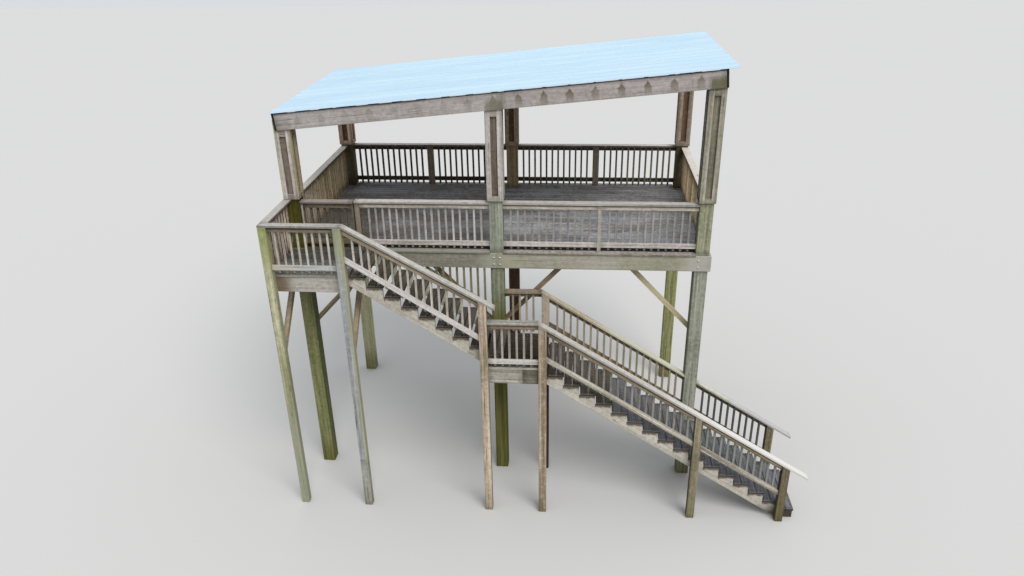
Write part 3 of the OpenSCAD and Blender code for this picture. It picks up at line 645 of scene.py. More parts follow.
# Guards of the deck.
# Square balusters screwed to the inside of a top and a bottom rail, a wide flat cap nailed
# over both, and a short stile where the rails meet.
guard_height = 0.914
cap_width = 0.14
rail = 0.089
rail_lift = 0.08
baluster = 0.038
baluster_gap = 0.089
baluster_foot = 0.02
stile_proud = 0.008
front_stile, back_stile_width = 0.064, 0.135
gate_opening = 0.995
cap_in = (cap_width - board - baluster) / 2
cap_timber, left_cap, landing_caps, gate_cap = timbers("bleach", (
    ("guard_caps", (0.6, 0.565, 0.525), (0.42, 0.39, 0.35), (0.27, 0.25, 0.2), 0.35, (0.63, 0.61, 0.58)),
    ("front_left_caps", (0.69, 0.65, 0.61), (0.5, 0.465, 0.42), (0.32, 0.29, 0.24), 0.35,
     (0.74, 0.715, 0.68)),
    ("landing_guard_caps", (0.49, 0.465, 0.435), (0.34, 0.315, 0.285), (0.22, 0.2, 0.16), 0.35,
     (0.475, 0.46, 0.435)),
    ("gate_cap", (0.36, 0.32, 0.29), (0.24, 0.21, 0.185), (0.15, 0.13, 0.1), 0.4, (0.465, 0.415, 0.375))
), bleach_share=0.8, damp=(0.16, 0.125, 0.09))
pale_caps, cream_caps, green_caps = timbers("bleach damp_share", (
    ("pale_stair_caps", (0.6, 0.57, 0.54), (0.45, 0.42, 0.385), (0.3, 0.27, 0.22), 0.35,
     (0.6, 0.585, 0.56), 0.6),
    ("cream_stair_caps", (0.66, 0.58, 0.45), (0.46, 0.39, 0.27), (0.3, 0.25, 0.165), 0.35,
     (0.62, 0.54, 0.4), 0.2),
    ("green_white_stair_caps", (0.65, 0.66, 0.56), (0.48, 0.48, 0.39), (0.3, 0.29, 0.2), 0.35,
     (0.65, 0.67, 0.58), 0.2)
), bleach_share=0.85)
pale_back_cap = timber("caps_under_the_roof", (0.85, 0.79, 0.71), (0.65, 0.58, 0.5), (0.4, 0.34, 0.27), 0.3,
                       (0.1, 0.075, 0.055), 0.95, (0.88, 0.83, 0.76), 0.9)
blue_grey_cap = timber("middle_landing_cap", (0.55, 0.52, 0.46), (0.39, 0.36, 0.31), (0.26, 0.24, 0.2), 0.4,
                       bleach=(0.2, 0.25, 0.22), bleach_share=0.85, mottle=0.6)
brown_cap = timber("brown_cap", (0.48, 0.39, 0.29), (0.3, 0.235, 0.165), (0.16, 0.12, 0.08), 0.4,
                   bleach=(0.22, 0.18, 0.13), damp_share=0.3)
# Painted shade: cap_shade darkens the upper part of each rail under its cap, and the raking and landing rails
# are darker all over for the shade of their caps.
rail_timber, shaded_timber, landing_rail = timbers("damp damp_share cap_shade", (
    ("guard_rails", (0.66, 0.6, 0.53), (0.45, 0.4, 0.33), (0.3, 0.26, 0.19), 0.4, (0.17, 0.13, 0.08),
     0.85, 0.75),
    ("rails_under_raking_caps", (0.41, 0.34, 0.24), (0.23, 0.18, 0.115), (0.12, 0.09, 0.055), 0.5,
     (0.1, 0.07, 0.04), 0.8, 0.9),
    ("landing_guard_rails", (0.26, 0.215, 0.16), (0.16, 0.13, 0.09), (0.1, 0.08, 0.055), 0.5,
     (0.1, 0.07, 0.04), 0.8, 0.95)))
pale_rails, tan_timber, brown_timber, gate_timber, white_rails = timbers("damp damp_share bleach", (
    ("pale_rails", (0.72, 0.67, 0.64), (0.52, 0.47, 0.43), (0.35, 0.31, 0.26), 0.35,
     (0.2, 0.155, 0.1), 0.8, (0.72, 0.68, 0.66)),
    ("tan_boards", (0.52, 0.45, 0.33), (0.36, 0.3, 0.2), (0.24, 0.195, 0.12), 0.4,
     (0.3, 0.24, 0.14), 0.5, (0.62, 0.54, 0.42)),
    ("brown_rails", (0.32, 0.25, 0.17), (0.19, 0.14, 0.09), (0.11, 0.08, 0.05), 0.5,
     (0.1, 0.07, 0.04), 0.8, (0.3, 0.25, 0.19)),
    ("gate_boards", (0.2, 0.165, 0.12), (0.1, 0.08, 0.055), (0.06, 0.048, 0.032), 0.5,
     (0.1, 0.07, 0.04), 0.8, (0.2, 0.17, 0.13)),
    ("bleached_stair_rails", (0.86, 0.81, 0.79), (0.66, 0.61, 0.58), (0.42, 0.38, 0.33), 0.3,
     (0.3, 0.25, 0.19), 0.7, (0.85, 0.81, 0.8))))
(stile_timber, baluster_timber, grey_balusters, lilac_balusters, cream_balusters, worn_balusters,
 side_balusters, back_timber, back_right_timber, back_stile, latch_stile) = timbers("damp damp_share", (
    ("guard_stiles", (0.62, 0.57, 0.5), (0.43, 0.385, 0.315), (0.3, 0.26, 0.19), 0.4,
     (0.17, 0.13, 0.08), 0.85),
    ("balusters", (0.7, 0.65, 0.57), (0.47, 0.42, 0.34), (0.33, 0.28, 0.2), 0.35, (0.17, 0.125, 0.075), 0.85),
    ("grey_balusters", (0.48, 0.465, 0.44), (0.33, 0.31, 0.285), (0.22, 0.2, 0.165), 0.35,
     (0.17, 0.14, 0.11), 0.7),
    ("lilac_balusters", (0.64, 0.61, 0.59), (0.44, 0.415, 0.39), (0.3, 0.27, 0.23), 0.35,
     (0.17, 0.125, 0.075), 0.85),
    ("cream_balusters", (0.56, 0.515, 0.475), (0.39, 0.35, 0.31), (0.25, 0.22, 0.18), 0.35,
     (0.2, 0.155, 0.1), 0.8),
    ("worn_balusters", (0.39, 0.375, 0.33), (0.21, 0.2, 0.165), (0.13, 0.12, 0.09), 0.4,
     (0.17, 0.145, 0.1), 0.8),
    ("side_balusters", (0.68, 0.55, 0.44), (0.4, 0.3, 0.22), (0.2, 0.14, 0.09), 0.35,
     (0.05, 0.035, 0.022), 1.0),
    ("back_guard_boards", (0.36, 0.32, 0.26), (0.2, 0.17, 0.13), (0.14, 0.12, 0.085), 0.4,
     (0.085, 0.065, 0.042), 0.95),
    ("back_right_guard_boards", (0.36, 0.33, 0.24), (0.2, 0.18, 0.12), (0.14, 0.12, 0.085), 0.4,
     (0.3, 0.26, 0.16), 0.95),
    ("back_guard_stiles", (0.5, 0.42, 0.33), (0.3, 0.24, 0.17), (0.2, 0.16, 0.11), 0.4,
     (0.42, 0.34, 0.24), 0.95),
    ("latch_stile", (0.42, 0.35, 0.29), (0.26, 0.21, 0.165), (0.16, 0.13, 0.095), 0.4,
     (0.1, 0.07, 0.04), 0.8)))
dark_balusters = timber("dark_balusters", (0.13, 0.135, 0.12), (0.08, 0.08, 0.07), (0.055, 0.055, 0.045), 0.4)
side_timber = timber("side_guard_boards", (0.42, 0.38, 0.31), (0.27, 0.235, 0.18), (0.18, 0.15, 0.1), 0.4,
                     (1.0, 0.76, 0.45), 0.95, mottle=0.6)
grey_rails = timber("blue_grey_rails", (0.6, 0.62, 0.6), (0.42, 0.43, 0.41), (0.29, 0.29, 0.26), 0.35,
                    bleach=(0.6, 0.62, 0.6), damp_share=0.4)
grey_tan = timber("grey_tan_rails", (0.6, 0.56, 0.48), (0.36, 0.325, 0.26), (0.24, 0.21, 0.16), 0.4,
                  bleach=(0.66, 0.62, 0.54), damp_share=0.5, streaking=1.4)
olive_timber = timber("olive_rail_boards", (0.3, 0.28, 0.17), (0.19, 0.17, 0.09), (0.13, 0.115, 0.06), 0.4,
                      damp_share=0.3)
# Painted shade: the side guards grow darker towards the back.
stain_towards(side_timber, 1, 3.0, 3.5, (0.06, 0.042, 0.026), 0.6)
stain_towards(pale_caps, 0, 2.6, 4.4, (0.8, 0.79, 0.76), 0.75)
stain_towards(worn_balusters, 0, bay - 0.3, bay + 0.3, (0.3, 0.32, 0.3), 0.6)
stain_towards(cream_caps, 0, 1.6, 2.3, (0.67, 0.72, 0.57), 0.6)
stain_towards(green_caps, 0, 4.3, 4.9, (0.44, 0.43, 0.5), 0.6)


def falling(point, slope, x):
    """Height at x of a line through a point, falling to the right."""
    return point[1] - slope * (x - point[0])


def baluster_edges(a, b):
    """Left edges of the balusters between a and b, evenly centred."""
    pitch = baluster + baluster_gap
    count = math.floor((b - a - baluster_gap) / pitch)
    start = (a + b - count * pitch + baluster_gap) / 2
    return [start + i * pitch for i in range(count)]


def board_between(finish, x0, x1, top, top_slope, foot, foot_slope, y0, thick, grain, place=None, ease=0.003):
    """Cuts a board with plumb ends between two falling lines."""
    outline = [(x0, falling(foot, foot_slope, x0)), (x1, falling(foot, foot_slope, x1)),
               (x1, falling(top, top_slope, x1)), (x0, falling(top, top_slope, x0))]
    cut_board(finish, outline, y0, thick, grain, place, ease)


def raking_board(finish, x0, x1, top, slope, depth, y0, thick, place=None):
    """Cuts a board of even depth under a falling line."""
    board_between(finish, x0, x1, top, slope, (top[0], top[1] - depth), slope, y0, thick,
                  (1, 0, -slope), place)


def build_guard(cap_x, bays, top, top_slope, foot, foot_slope, face_y, finishes, side=1, place=None):
    """Adds a guard along X with its outside at face_y, facing -Y for side 1 and +Y for side -1.
    Its finishes are those of the cap, the top rail, the bottom rail and the balusters."""
    cap_finish, rail_finish, foot_finish, baluster_finish = finishes
    cap_y = face_y if side > 0 else face_y - cap_width
    rail_y = face_y + cap_in if side > 0 else face_y - cap_in - board
    baluster_y = rail_y + board if side > 0 else rail_y - baluster
    steep, foot_steep = math.hypot(1, top_slope), math.hypot(1, foot_slope)
    under_cap = (top[0], top[1] - board * steep)
    foot_top = (foot[0], foot[1] + rail * foot_steep)
    tips = (foot[0], foot[1] - rail_lift + baluster_foot)
    turned = place or Matrix()
    raking_board(cap_finish, *cap_x, top, top_slope, board * steep, cap_y, cap_width, place)
    for a, b in bays:
        raking_board(rail_finish, a, b, under_cap, top_slope, rail * steep, rail_y, board, place)
        raking_board(foot_finish, a, b, foot_top, foot_slope, rail * foot_steep, rail_y, board, place)
        for x in baluster_edges(a, b):
            board_between(baluster_finish, x, x + baluster, under_cap, top_slope, tips, foot_slope,
                          baluster_y, baluster, UPRIGHT, place, 0.002)
            mid = x + baluster / 2
            for z in (falling(under_cap, top_slope, mid) - rail / 2,
                      falling(foot_top, foot_slope, mid) - rail / 2):
                spot = Vector((mid, baluster_y + (baluster if side > 0 else 0), z))
                dome(screws, turned @ spot, turned.to_3x3() @ Vector((0, side, 0)))


def level_guard(cap_x, bays, floor, face_y, finishes, side=1, place=None, height=guard_height,
                lift=rail_lift):
    """Adds a level guard on a floor."""
    build_guard(cap_x, bays, (0, floor + height), 0, (0, floor + lift), 0, face_y, finishes, side, place)


def stand_stile(finish, x, width, face_y, side=1, place=None):
    """Adds the short post between two lengths of rail on the deck."""
    depth = board + baluster + 2 * stile_proud
    y = face_y + cap_in - stile_proud if side > 0 else face_y - cap_in + stile_proud - depth
    box_board(finish, (x, y, deck), (x + width, y + depth, deck + guard_height - board), UPRIGHT, place)


def turned_at(x, y=0):
    """The place of something that runs back from x, y."""
    return Matrix.Translation((x, y, 0)) @ TURNED


stair_back = -half_post
left_bay = (half_post - bay, -half_post)
right_bay = (half_post, bay - half_post)
side_bay = (half_post, bay_depth - half_post)
back_face = bay_depth + half_post
for node, (a, b), stile, stile_finish, y, side, finishes, place in (
        ("guard_front_right", right_bay, front_stile, stile_timber, stair_back, 1,
         (cap_timber, rail_timber, pale_rails, grey_balusters), None),
        ("guard_back_left", left_bay, back_stile_width, back_stile, back_face, -1,
         (pale_back_cap, back_timber, back_timber, back_timber), None),
        ("guard_back_right", right_bay, back_stile_width, back_stile, back_face, -1,
         (pale_back_cap, back_timber, back_timber, back_right_timber), None),
        ("guard_left", side_bay, rail, side_timber, 0, -1,
         (pale_back_cap, side_timber, side_timber, side_timber), turned_at(-bay - half_post)),
        ("guard_right", side_bay, rail, side_timber, 0, 1,
         (pale_back_cap, side_timber, side_timber, side_timber), turned_at(bay + half_post))):
    m = (a + b - stile) / 2
    level_guard((a, b), [(a, m), (m + stile, b)], deck, y, finishes, side, place)
    stand_stile(stile_finish, m, stile, y, side, place)
    fix_piece(f"{node}_boards", "guard_wood", node)
latch_x = -bay + half_post + gate_opening
level_guard((latch_x, -half_post), [(latch_x + rail, -half_post)], deck, stair_back,
            (left_cap, rail_timber, pale_rails, lilac_balusters))
stand_stile(latch_stile, latch_x, rail, stair_back)
fix_piece("guard_front_left_boards", "guard_wood", "guard_front_left")


def repaint(node, finish):
    """Gives a CAD node that stays visible its finish."""
    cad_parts[node].data.materials.clear()
    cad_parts[node].data.materials.append(finish)


# Gate.
# A short length of the same guard in a light frame, hung on two steel hinges from the left
# post and swinging in over the deck from the head of the stair.
hinge_gap, latch_gap, cap_drop = 0.01, 0.022, 0.015
gate_left = -bay + half_post + hinge_gap
gate_right = latch_x - latch_gap
gate_top = deck - cap_drop + guard_height
gate_foot = deck + rail_lift
build_guard((gate_left, gate_right), [(gate_left + board, gate_right - board)], (0, gate_top), 0,
            (0, gate_foot), 0, stair_back, (gate_cap, gate_timber, gate_timber, gate_timber))
for x, finish in ((gate_left, stile_timber), (gate_right - board, gate_timber)):
    box_board(finish, (x, stair_back + cap_in, gate_foot),
              (x + board, stair_back + cap_width, gate_top - board), UPRIGHT)
fix_piece("gate_boards", "guard_wood", "gate", body="gate")
repaint("gate_hinges", steel)
repaint("gate_hinge_seats", steel)

# Braces.
# Light boards with their ends cut plumb and level, nailed across the corners of posts and
# beams to stop the frame from swaying.
brace_timber = timber("brace_boards", (0.56, 0.46, 0.32), (0.3, 0.22, 0.13), (0.22, 0.17, 0.1), 0.3,
                      damp_share=0.2)
stain_towards(brace_timber, 0, 1.8, 2.2, (0.74, 0.68, 0.42), 0.45)
brace = 0.089
knee_drop, knee_reach, knee_lap = 1.3, 1.235, 0.1
knee_trim = 0.065


def nail_brace(x, top, drop, reach, lap, y0, thick, tone, place=None):
    """Adds a brace from a plumb cut, lapped past x, to a level cut. A reach below 0 leans it to the left."""
    steep = drop / reach
    cut = brace * math.hypot(1, steep)
    start = x - math.copysign(lap, reach)
    low = top - drop + steep * (start - x)
    outline = [(start, low), (x + reach, top), (x + reach - cut / steep, top), (start, low + cut)]
    cut_board(brace_timber, outline, y0, thick, (1, 0, steep), place, tone=tone)


for y in (half_post, bay_depth - half_post - board):
    for i, trim in ((-1, 0), (0, knee_trim)):
        nail_brace(i * bay + half_post, beam_low, knee_drop - trim, knee_reach - trim, knee_lap, y, board, 1)
        nail_brace((i + 1) * bay - half_post, beam_low, knee_drop, -knee_reach, knee_lap, y, board, 0)
fix_piece("knee_brace_boards", "framing_wood", "knee_braces")

# Top landing.
# A small deck hung outside the left bay on two slim posts, where the stair arrives, with a
# guard on its two open sides. The right post is spliced above its foot.
stair_width = 1.173
stair_front = stair_back - stair_width
stair_post = 0.14
half_stair_post = stair_post / 2
post_y = stair_front - half_stair_post
post_face = stair_front - stair_post
landing_length = 1.398
frame_left = -outer
top_right = frame_left + landing_length
landing_guard = 0.94
landing_lift = 0.125
landing_cap = deck + landing_guard
left_post_x, right_post_x = frame_left + half_stair_post, top_right - half_stair_post
splice = 1.02
side_brace_drop, side_brace_gap = 1.24, 0.003
landing_post_timber = post_finish("yellow_landing_post", (0.66, 0.65, 0.42), 0.38, 3.2, damp=(0.72, 0.7, 0.5))
pale_post_timber = post_finish("pale_landing_post", (0.62, 0.645, 0.65), 0, damp=(0.5, 0.49, 0.35))
lilac_post_timber = post_finish("landing_post_foot", (0.6, 0.61, 0.535), 0.4, damp=(0.4, 0.39, 0.3))
stain_towards(pale_post_timber, 2, 4.8, 5.5, (0.3, 0.31, 0.15), 0.65, 0.8)
stain_towards(pale_post_timber, 0, right_post_x, top_right - 0.01, (0.42, 0.4, 0.19), 0.5)
stain_towards(landing_post_timber, 2, 4.7, 5.4, (0.3, 0.34, 0.1), 0.55)
stain_towards(landing_post_timber, 2, 2.6, 1.6, (0.36, 0.38, 0.3), 0.6)
rim_timber = timber("landing_rims", (0.5, 0.47, 0.42), (0.34, 0.315, 0.255), (0.24, 0.215, 0.155), 0.4)
pale_rim_timber = timber("pale_landing_rim", (0.55, 0.515, 0.47), (0.37, 0.34, 0.3), (0.27, 0.21, 0.15), 0.4,
                         streaking=0.5)
stain_towards(pale_rim_timber, 0, frame_left + 0.52, frame_left + 0.22, (0.13, 0.085, 0.035), 0.8)
stain_towards(pale_rim_timber, 0, top_right - 0.35, top_right, (0.26, 0.27, 0.2), 0.5)
stain_towards(grey_rails, 0, frame_left + 0.8, frame_left + 0.2, (0.56, 0.5, 0.42), 0.85)
stand_post(landing_post_timber, left_post_x, post_y, stair_post, landing_cap - board)
stand_post(lilac_post_timber, right_post_x, post_y, stair_post, splice)
stand_post(pale_post_timber, right_post_x, post_y, stair_post, landing_cap - board, foot=splice + hair)
fix_piece("landing_posts", "treated_post", "top_landing_posts")
box_board(pale_rim_timber, (frame_left, stair_front, beam_low),
          (top_right, stair_front + board, frame_top), ALONG, tone=0.2)
fix_piece("landing_front_rim", "framing_wood", "top_landing_rim")
set_across(rim_timber, (frame_left, top_right - board), stair_front + board, beam_face, frame_top, beam_depth)
fix_piece("landing_side_rims", "framing_wood", "top_landing_side_rims")
landing_lines = joist_lines(frame_left + board, top_right - board)
lay_joists("landing_joists", "top_landing_joists", landing_lines, stair_front + board, beam_face, frame_top)
lay_boards((landing_edge, dark_decking), frame_left, top_right, stair_front - deck_lip, deck_edge, deck,
           [(x, post_y, half_stair_post) for x in (left_post_x, right_post_x)], lines=landing_lines)
fix_piece("landing_boards", "floor_boards", "top_landing_floor")
level_guard((stair_front, stair_back), [(stair_front, stair_back)], deck, 0,
            (landing_caps, landing_rail, grey_rails, side_balusters), -1, turned_at(frame_left),
            landing_guard, landing_lift)
fix_piece("landing_left_guard", "guard_wood", "top_guard_left")
level_guard((frame_left, top_right), [(frame_left + stair_post, top_right - stair_post)], deck, post_face,
            (landing_caps, landing_rail, grey_rails, baluster_timber), height=landing_guard,
            lift=landing_lift)
fix_piece("landing_front_guard", "guard_wood", "top_guard_front")
for x in (left_post_x, right_post_x):
    nail_brace(0, beam_low, side_brace_drop, stair_width - side_brace_gap, 0, 0, brace, 0.6,
               turned_at(x + brace / 2, stair_front))
fix_piece("landing_brace_boards", "framing_wood", "landing_braces")

# Upper flight.
# Two cut stringers carry nine treads of paired boards from the landing down to the middle
# landing. The handrail falls less than the stair, so its balusters grow like a fan.
step_rise = 0.1865
step_run = 0.288
slope = step_rise / step_run
rake = math.hypot(1, slope)
upper_steps = 9
lower_steps = 17
middle = step_rise * lower_steps
upper_end = top_right + upper_steps * step_run
mid_lap, mid_length = 0.381, 1.161
mid_left = upper_end - mid_lap
mid_right = mid_left + mid_length
tread = 0.286
tread_gap = 0.006
nosing = 0.02
tread_screw_in = 0.035
rail_over_tread = 0.095
stringers = timbers("", [(name, (0.66, 0.615, 0.54), (0.5, 0.46, 0.385), (0.33, 0.3, 0.235), 0.4)
                         for name in ("upper_stringers", "lower_stringers")], streaking=0.6)
grey_tread = ((0.2, 0.205, 0.22), (0.09, 0.09, 0.098), (0.055, 0.05, 0.045), 0.6, (0.2, 0.21, 0.225), 0.4)
brown_treads, grey_treads, low_tread = timbers("bleach bleach_share end_tone", (
    ("treads", (0.13, 0.115, 0.095), (0.06, 0.052, 0.042), (0.035, 0.03, 0.022), 0.6,
     (0.15, 0.135, 0.12), 0.35, (0.13, 0.105, 0.085)),
    ("grey_treads", *grey_tread, (0.16, 0.145, 0.13)),
    ("lowest_tread", *grey_tread, (0.05, 0.033, 0.022))), edge_dirt=0.7)
# Painted shadow along the lower half of each tread's end face.
for finish in (brown_treads, grey_treads):
    level = calc("MODULO", axes_of(spot_of(finish))[2], step_rise)
    ends = coat(finish.node_tree, "Attribute", attribute_name="ends").outputs["Fac"]
    low = ramp(level, step_rise - 0.024, step_rise - 0.018, 0.95, 0.0)
    stain(finish, times(low, ends), (0.02, 0.016, 0.012))


def paint_tread_shadows_on_stringer(finish, x0, z):
    """Painted shadow on a stringer's face under each tread, and the stringer darker near the ground."""
    spot = spot_of(finish)
    axes = axes_of(spot)
    step = calc("FLOOR", calc("DIVIDE", minus(axes[0], x0), step_run))
    under = minus(times_plus(step, -step_rise, z), axes[2])
    under = times_plus(cloud(spot, 18.0, 3), 0.09, under)
    share = highest(ramp(under, 0.075, 0.11, 0.85, 0.0), ramp(axes[2], 0.12, 0.3, 0.8, 0.0))
    stain(finish, share, (0.075, 0.055, 0.038))


def cut_stringers(finish, x0, z, steps, floor, places):
    """Cuts stringers with a seat for each tread, level at the heel and plumb at the foot."""
    seats = [(x0 + (i + k) * step_run, z - i * step_rise) for i in range(steps) for k in (0, 1)]
    under = (x0 + step_run, z - beam_depth * rake)
    heel = [(x0 + steps * step_run, floor), (under[0] + (under[1] - floor) / slope, floor),
            (x0, falling(under, slope, x0))]
    for y in places:
        cut_board(finish, seats + heel, y, board, (1, 0, -slope))
    paint_tread_shadows_on_stringer(finish, x0, z)


def lay_treads(finishes, x0, z, y0, y1):
    """Lays a tread of two boards for each finish, with four screws in every board."""
    half = (tread - tread_gap) / 2
    for i, finish in enumerate(finishes):
        x = x0 + (i + 1) * step_run + nosing - tread
        top = z - i * step_rise
        for a in (x, x + half + tread_gap):
            box_board(finish, (a, y0, top - board), (a + half, y1, top), ACROSS, ease=0.004)
            for dx in (tread_screw_in, half - tread_screw_in):
                for y in (y0 + board / 2, y1 - board / 2):
                    dome(screws, (a + dx, y, top), UPRIGHT)


cut_stringers(stringers[0], top_right, frame_top, upper_steps, middle, (stair_front, beam_face - board))
fix_piece("upper_stringer_boards", "framing_wood", "upper_stringers")
lay_treads(upper_steps * [brown_treads], top_right, deck, stair_front, deck_edge)
fix_piece("upper_tread_boards", "floor_boards", "upper_treads")
upper_hand_end, cap_past_post = 1.3, 0.145
upper_hand = (top_right, landing_cap)
upper_hand_slope = (landing_cap - middle - upper_hand_end) / (mid_left + half_stair_post - top_right)
upper_cap_end = mid_left + stair_post + cap_past_post
rake_foot = (top_right + step_run, deck + rail_over_tread)
build_guard((top_right, upper_cap_end), [(top_right, mid_left)], upper_hand, upper_hand_slope,
            rake_foot, slope, post_face, (pale_caps, shaded_timber, white_rails, baluster_timber))
fix_piece("upper_front_guard", "guard_wood", "upper_guard_front")
rake_top = (rake_foot[0], rake_foot[1] + rail * rake)
rake_tips = (rake_foot[0], rake_foot[1] - rail_lift + baluster_foot)
x0 = rake_top[0] + (rake_top[1] - beam_low) / slope
raking_board(olive_timber, x0, -half_post, rake_top, slope, rail * rake, -half_post, board)
for x in baluster_edges(x0 + baluster_gap, -half_post):
    board_between(olive_timber, x, x + baluster, (0, beam_low), 0, rake_tips, slope, beam_face,
                  baluster, UPRIGHT, ease=0.002)
fix_piece("upper_back_guard", "guard_wood", "upper_guard_back")

# Middle landing.
# A small framed floor between the flights, on two posts at the front and one at the back,
# its other corner at the middle main post.
mid_frame_top = middle - board
mid_low = mid_frame_top - beam_depth
mid_front_in, mid_joint_in = 0.05, 0.42
mid_front = post_face + mid_front_in
mid_guard = 0.9
back_drop = 0.04
joint_x = mid_right - mid_joint_in
mid_posts = (mid_left + half_stair_post, mid_right - half_stair_post)
lower_end = mid_right + (lower_steps - 1) * step_run
end_post_in, lower_hand_end = 0.27, 1.276
end_post_x = lower_end - end_post_in
landing_guard_end = mid_right - stair_post
lower_hand = (landing_guard_end, middle + mid_guard)
lower_hand_slope = (lower_hand[1] - lower_hand_end) / (end_post_x - lower_hand[0])
brown_post_timber = timber("brown_stair_posts", (0.73, 0.585, 0.445), (0.32, 0.25, 0.17),
                           (0.22, 0.175, 0.115), 0.35, (0.1, 0.055, 0.03), splits=0.9, moss=0.3)
pale_brown_timber = timber("pale_brown_stair_post", (0.6, 0.52, 0.4), (0.42, 0.35, 0.26),
                           (0.28, 0.23, 0.16), 0.35, (0.3, 0.24, 0.17), splits=0.7)
red_brown_timber, green_rim_timber = timbers("", (
    ("red_brown_post_foot", (0.085, 0.045, 0.025), (0.05, 0.027, 0.015), (0.03, 0.018, 0.01), 0.4),
    ("green_rim", (0.24, 0.23, 0.18), (0.15, 0.145, 0.1), (0.1, 0.095, 0.06), 0.4)))


def stand_under(finish, x, y, hand, hand_slope, tone=None, foot=0.0):
    """Stands a stair post cut to the underside of a raking cap."""
    under = falling(hand, hand_slope, x) - board * math.hypot(1, hand_slope)
    stand_post(finish, x, y, stair_post, under, hand_slope, foot, tone)


stand_under(brown_post_timber, mid_posts[0], post_y, upper_hand, upper_hand_slope, 0.05)
stand_under(brown_post_timber, mid_posts[1], post_y, lower_hand, lower_hand_slope, 1.25)
fix_piece("middle_landing_posts", "stair_post_wood", "mid_landing_posts")
for y in (stair_front, stair_back - board):
    for a, b, tone in ((mid_left, joint_x - hair, 0.1), (joint_x + hair, mid_right, 1)):
        box_board(rim_timber, (a, y, mid_low), (b, y + board, mid_frame_top), ALONG, tone=tone)
for a, b, finish in ((mid_left + stair_post, joint_x - hair, rim_timber),
                     (joint_x + hair, mid_right - stair_post, green_rim_timber)):
    box_board(finish, (a, mid_front, mid_low), (b, mid_front + board, mid_frame_top), ALONG, tone=0.3)
fix_piece("middle_landing_rims", "framing_wood", "mid_landing_rims")
set_across(frame_timber, (mid_left, mid_right - board), stair_front + board, stair_back - board,
           mid_frame_top, beam_depth)
fix_piece("middle_landing_side_rims", "framing_wood", "mid_landing_side_rims")
mid_lines = joist_lines(mid_left + board, mid_right - board)
lay_joists("middle_landing_joists", "mid_landing_joists", mid_lines, stair_front + board, stair_back - board,
           mid_frame_top)
lay_boards((shaded_edge, black_decking), mid_left, mid_right, mid_front, stair_back, middle,
           [(x, post_y, half_stair_post) for x in mid_posts], lines=mid_lines)
fix_piece("middle_landing_boards", "floor_boards", "mid_landing_floor")
level_guard((mid_left + stair_post, landing_guard_end), [(mid_left + stair_post, landing_guard_end)], middle,
            post_face, (blue_grey_cap, brown_timber, pale_rails, cream_balusters), height=mid_guard)
fix_piece("middle_front_guard", "guard_wood", "mid_guard_front")
level_guard((half_post, landing_guard_end), [(half_post, landing_guard_end)], middle, stair_back + cap_width,
            (brown_cap, brown_timber, brown_timber, tan_timber), -1, height=mid_guard - back_drop)
fix_piece("middle_back_guard", "guard_wood", "mid_guard_back")

# Lower flight.
# Sixteen more treads on two long stringers that stand on the ground, with a raking guard on
# both sides. The back one stops at the right main post and starts again beyond it.
back_hand = (lower_hand[0], lower_hand[1] - back_drop)
rail_past_end, front_rail_lift, front_rail_sink = 0.14, 0.13, 0.06
rail_end = lower_end + rail_past_end
worn_post_timber = timber("worn_stair_posts", (0.36, 0.315, 0.215), (0.2, 0.175, 0.11),
                          (0.14, 0.12, 0.075), 0.5, (0.045, 0.035, 0.022), 0.9, splits=0.9, moss=0.4)
end_post_timber = timber("end_stair_posts", (0.245, 0.2, 0.135), (0.14, 0.112, 0.07), (0.1, 0.08, 0.045), 0.5,
                         (0.03, 0.022, 0.014), 0.95, splits=0.9, moss=0.45, moss_top=0.5)
stain_towards(stringers[1], 0, lower_end - 0.45, lower_end - 0.1, (0.05, 0.035, 0.025), 0.9)
for x, finish in ((bay, worn_post_timber), (end_post_x, end_post_timber)):
    stand_under(finish, x, post_y, lower_hand, lower_hand_slope, 0.3)
fix_piece("lower_front_posts", "stair_post_wood", "lower_flight_posts")
back_y = stair_back + half_stair_post
stand_post(red_brown_timber, mid_posts[1], back_y, stair_post, mid_low)
stand_under(pale_brown_timber, mid_posts[1], back_y, back_hand, lower_hand_slope, foot=mid_low)
stand_under(worn_post_timber, end_post_x, back_y, back_hand, lower_hand_slope)
fix_piece("back_posts_of_the_stair", "stair_post_wood", "back_stair_posts")
cut_stringers(stringers[1], mid_right, mid_frame_top - step_rise, lower_steps - 1, 0,
              (stair_front, stair_back - board))
fix_piece("lower_stringer_boards", "framing_wood", "lower_stringers")
lay_treads(4 * [brown_treads] + 11 * [grey_treads] + [low_tread], mid_right, middle - step_rise, stair_front,
           stair_back)
fix_piece("lower_tread_boards", "floor_boards", "lower_treads")
lower_foot = (mid_right, middle + rail_over_tread)
front_foot = (mid_right, middle + front_rail_lift)
front_slope = slope - front_rail_sink / (end_post_x - mid_right)
h = half_stair_post
build_guard((lower_hand[0], rail_end), [(mid_right, bay - h), (bay + h, end_post_x - h)], lower_hand,
            lower_hand_slope, front_foot, front_slope, post_face,
            (pale_caps, shaded_timber, grey_tan, worn_balusters))
fix_piece("lower_front_guard", "guard_wood", "lower_guard_front")
for cap_ends, rail_ends, cap_finish, baluster_finish in (
        ((back_hand[0], bay - half_post), (mid_right, bay - half_post), cream_caps, tan_timber),
        ((bay + half_post, rail_end), (bay + half_post, end_post_x - h), green_caps, dark_balusters)):
    build_guard(cap_ends, [rail_ends], back_hand, lower_hand_slope, lower_foot, slope, stair_back + cap_width,
                (cap_finish, brown_timber, brown_timber, baluster_finish), -1)
fix_piece("lower_back_guards", "guard_wood", "lower_guard_back")
fix_heads("board_screws", screws)

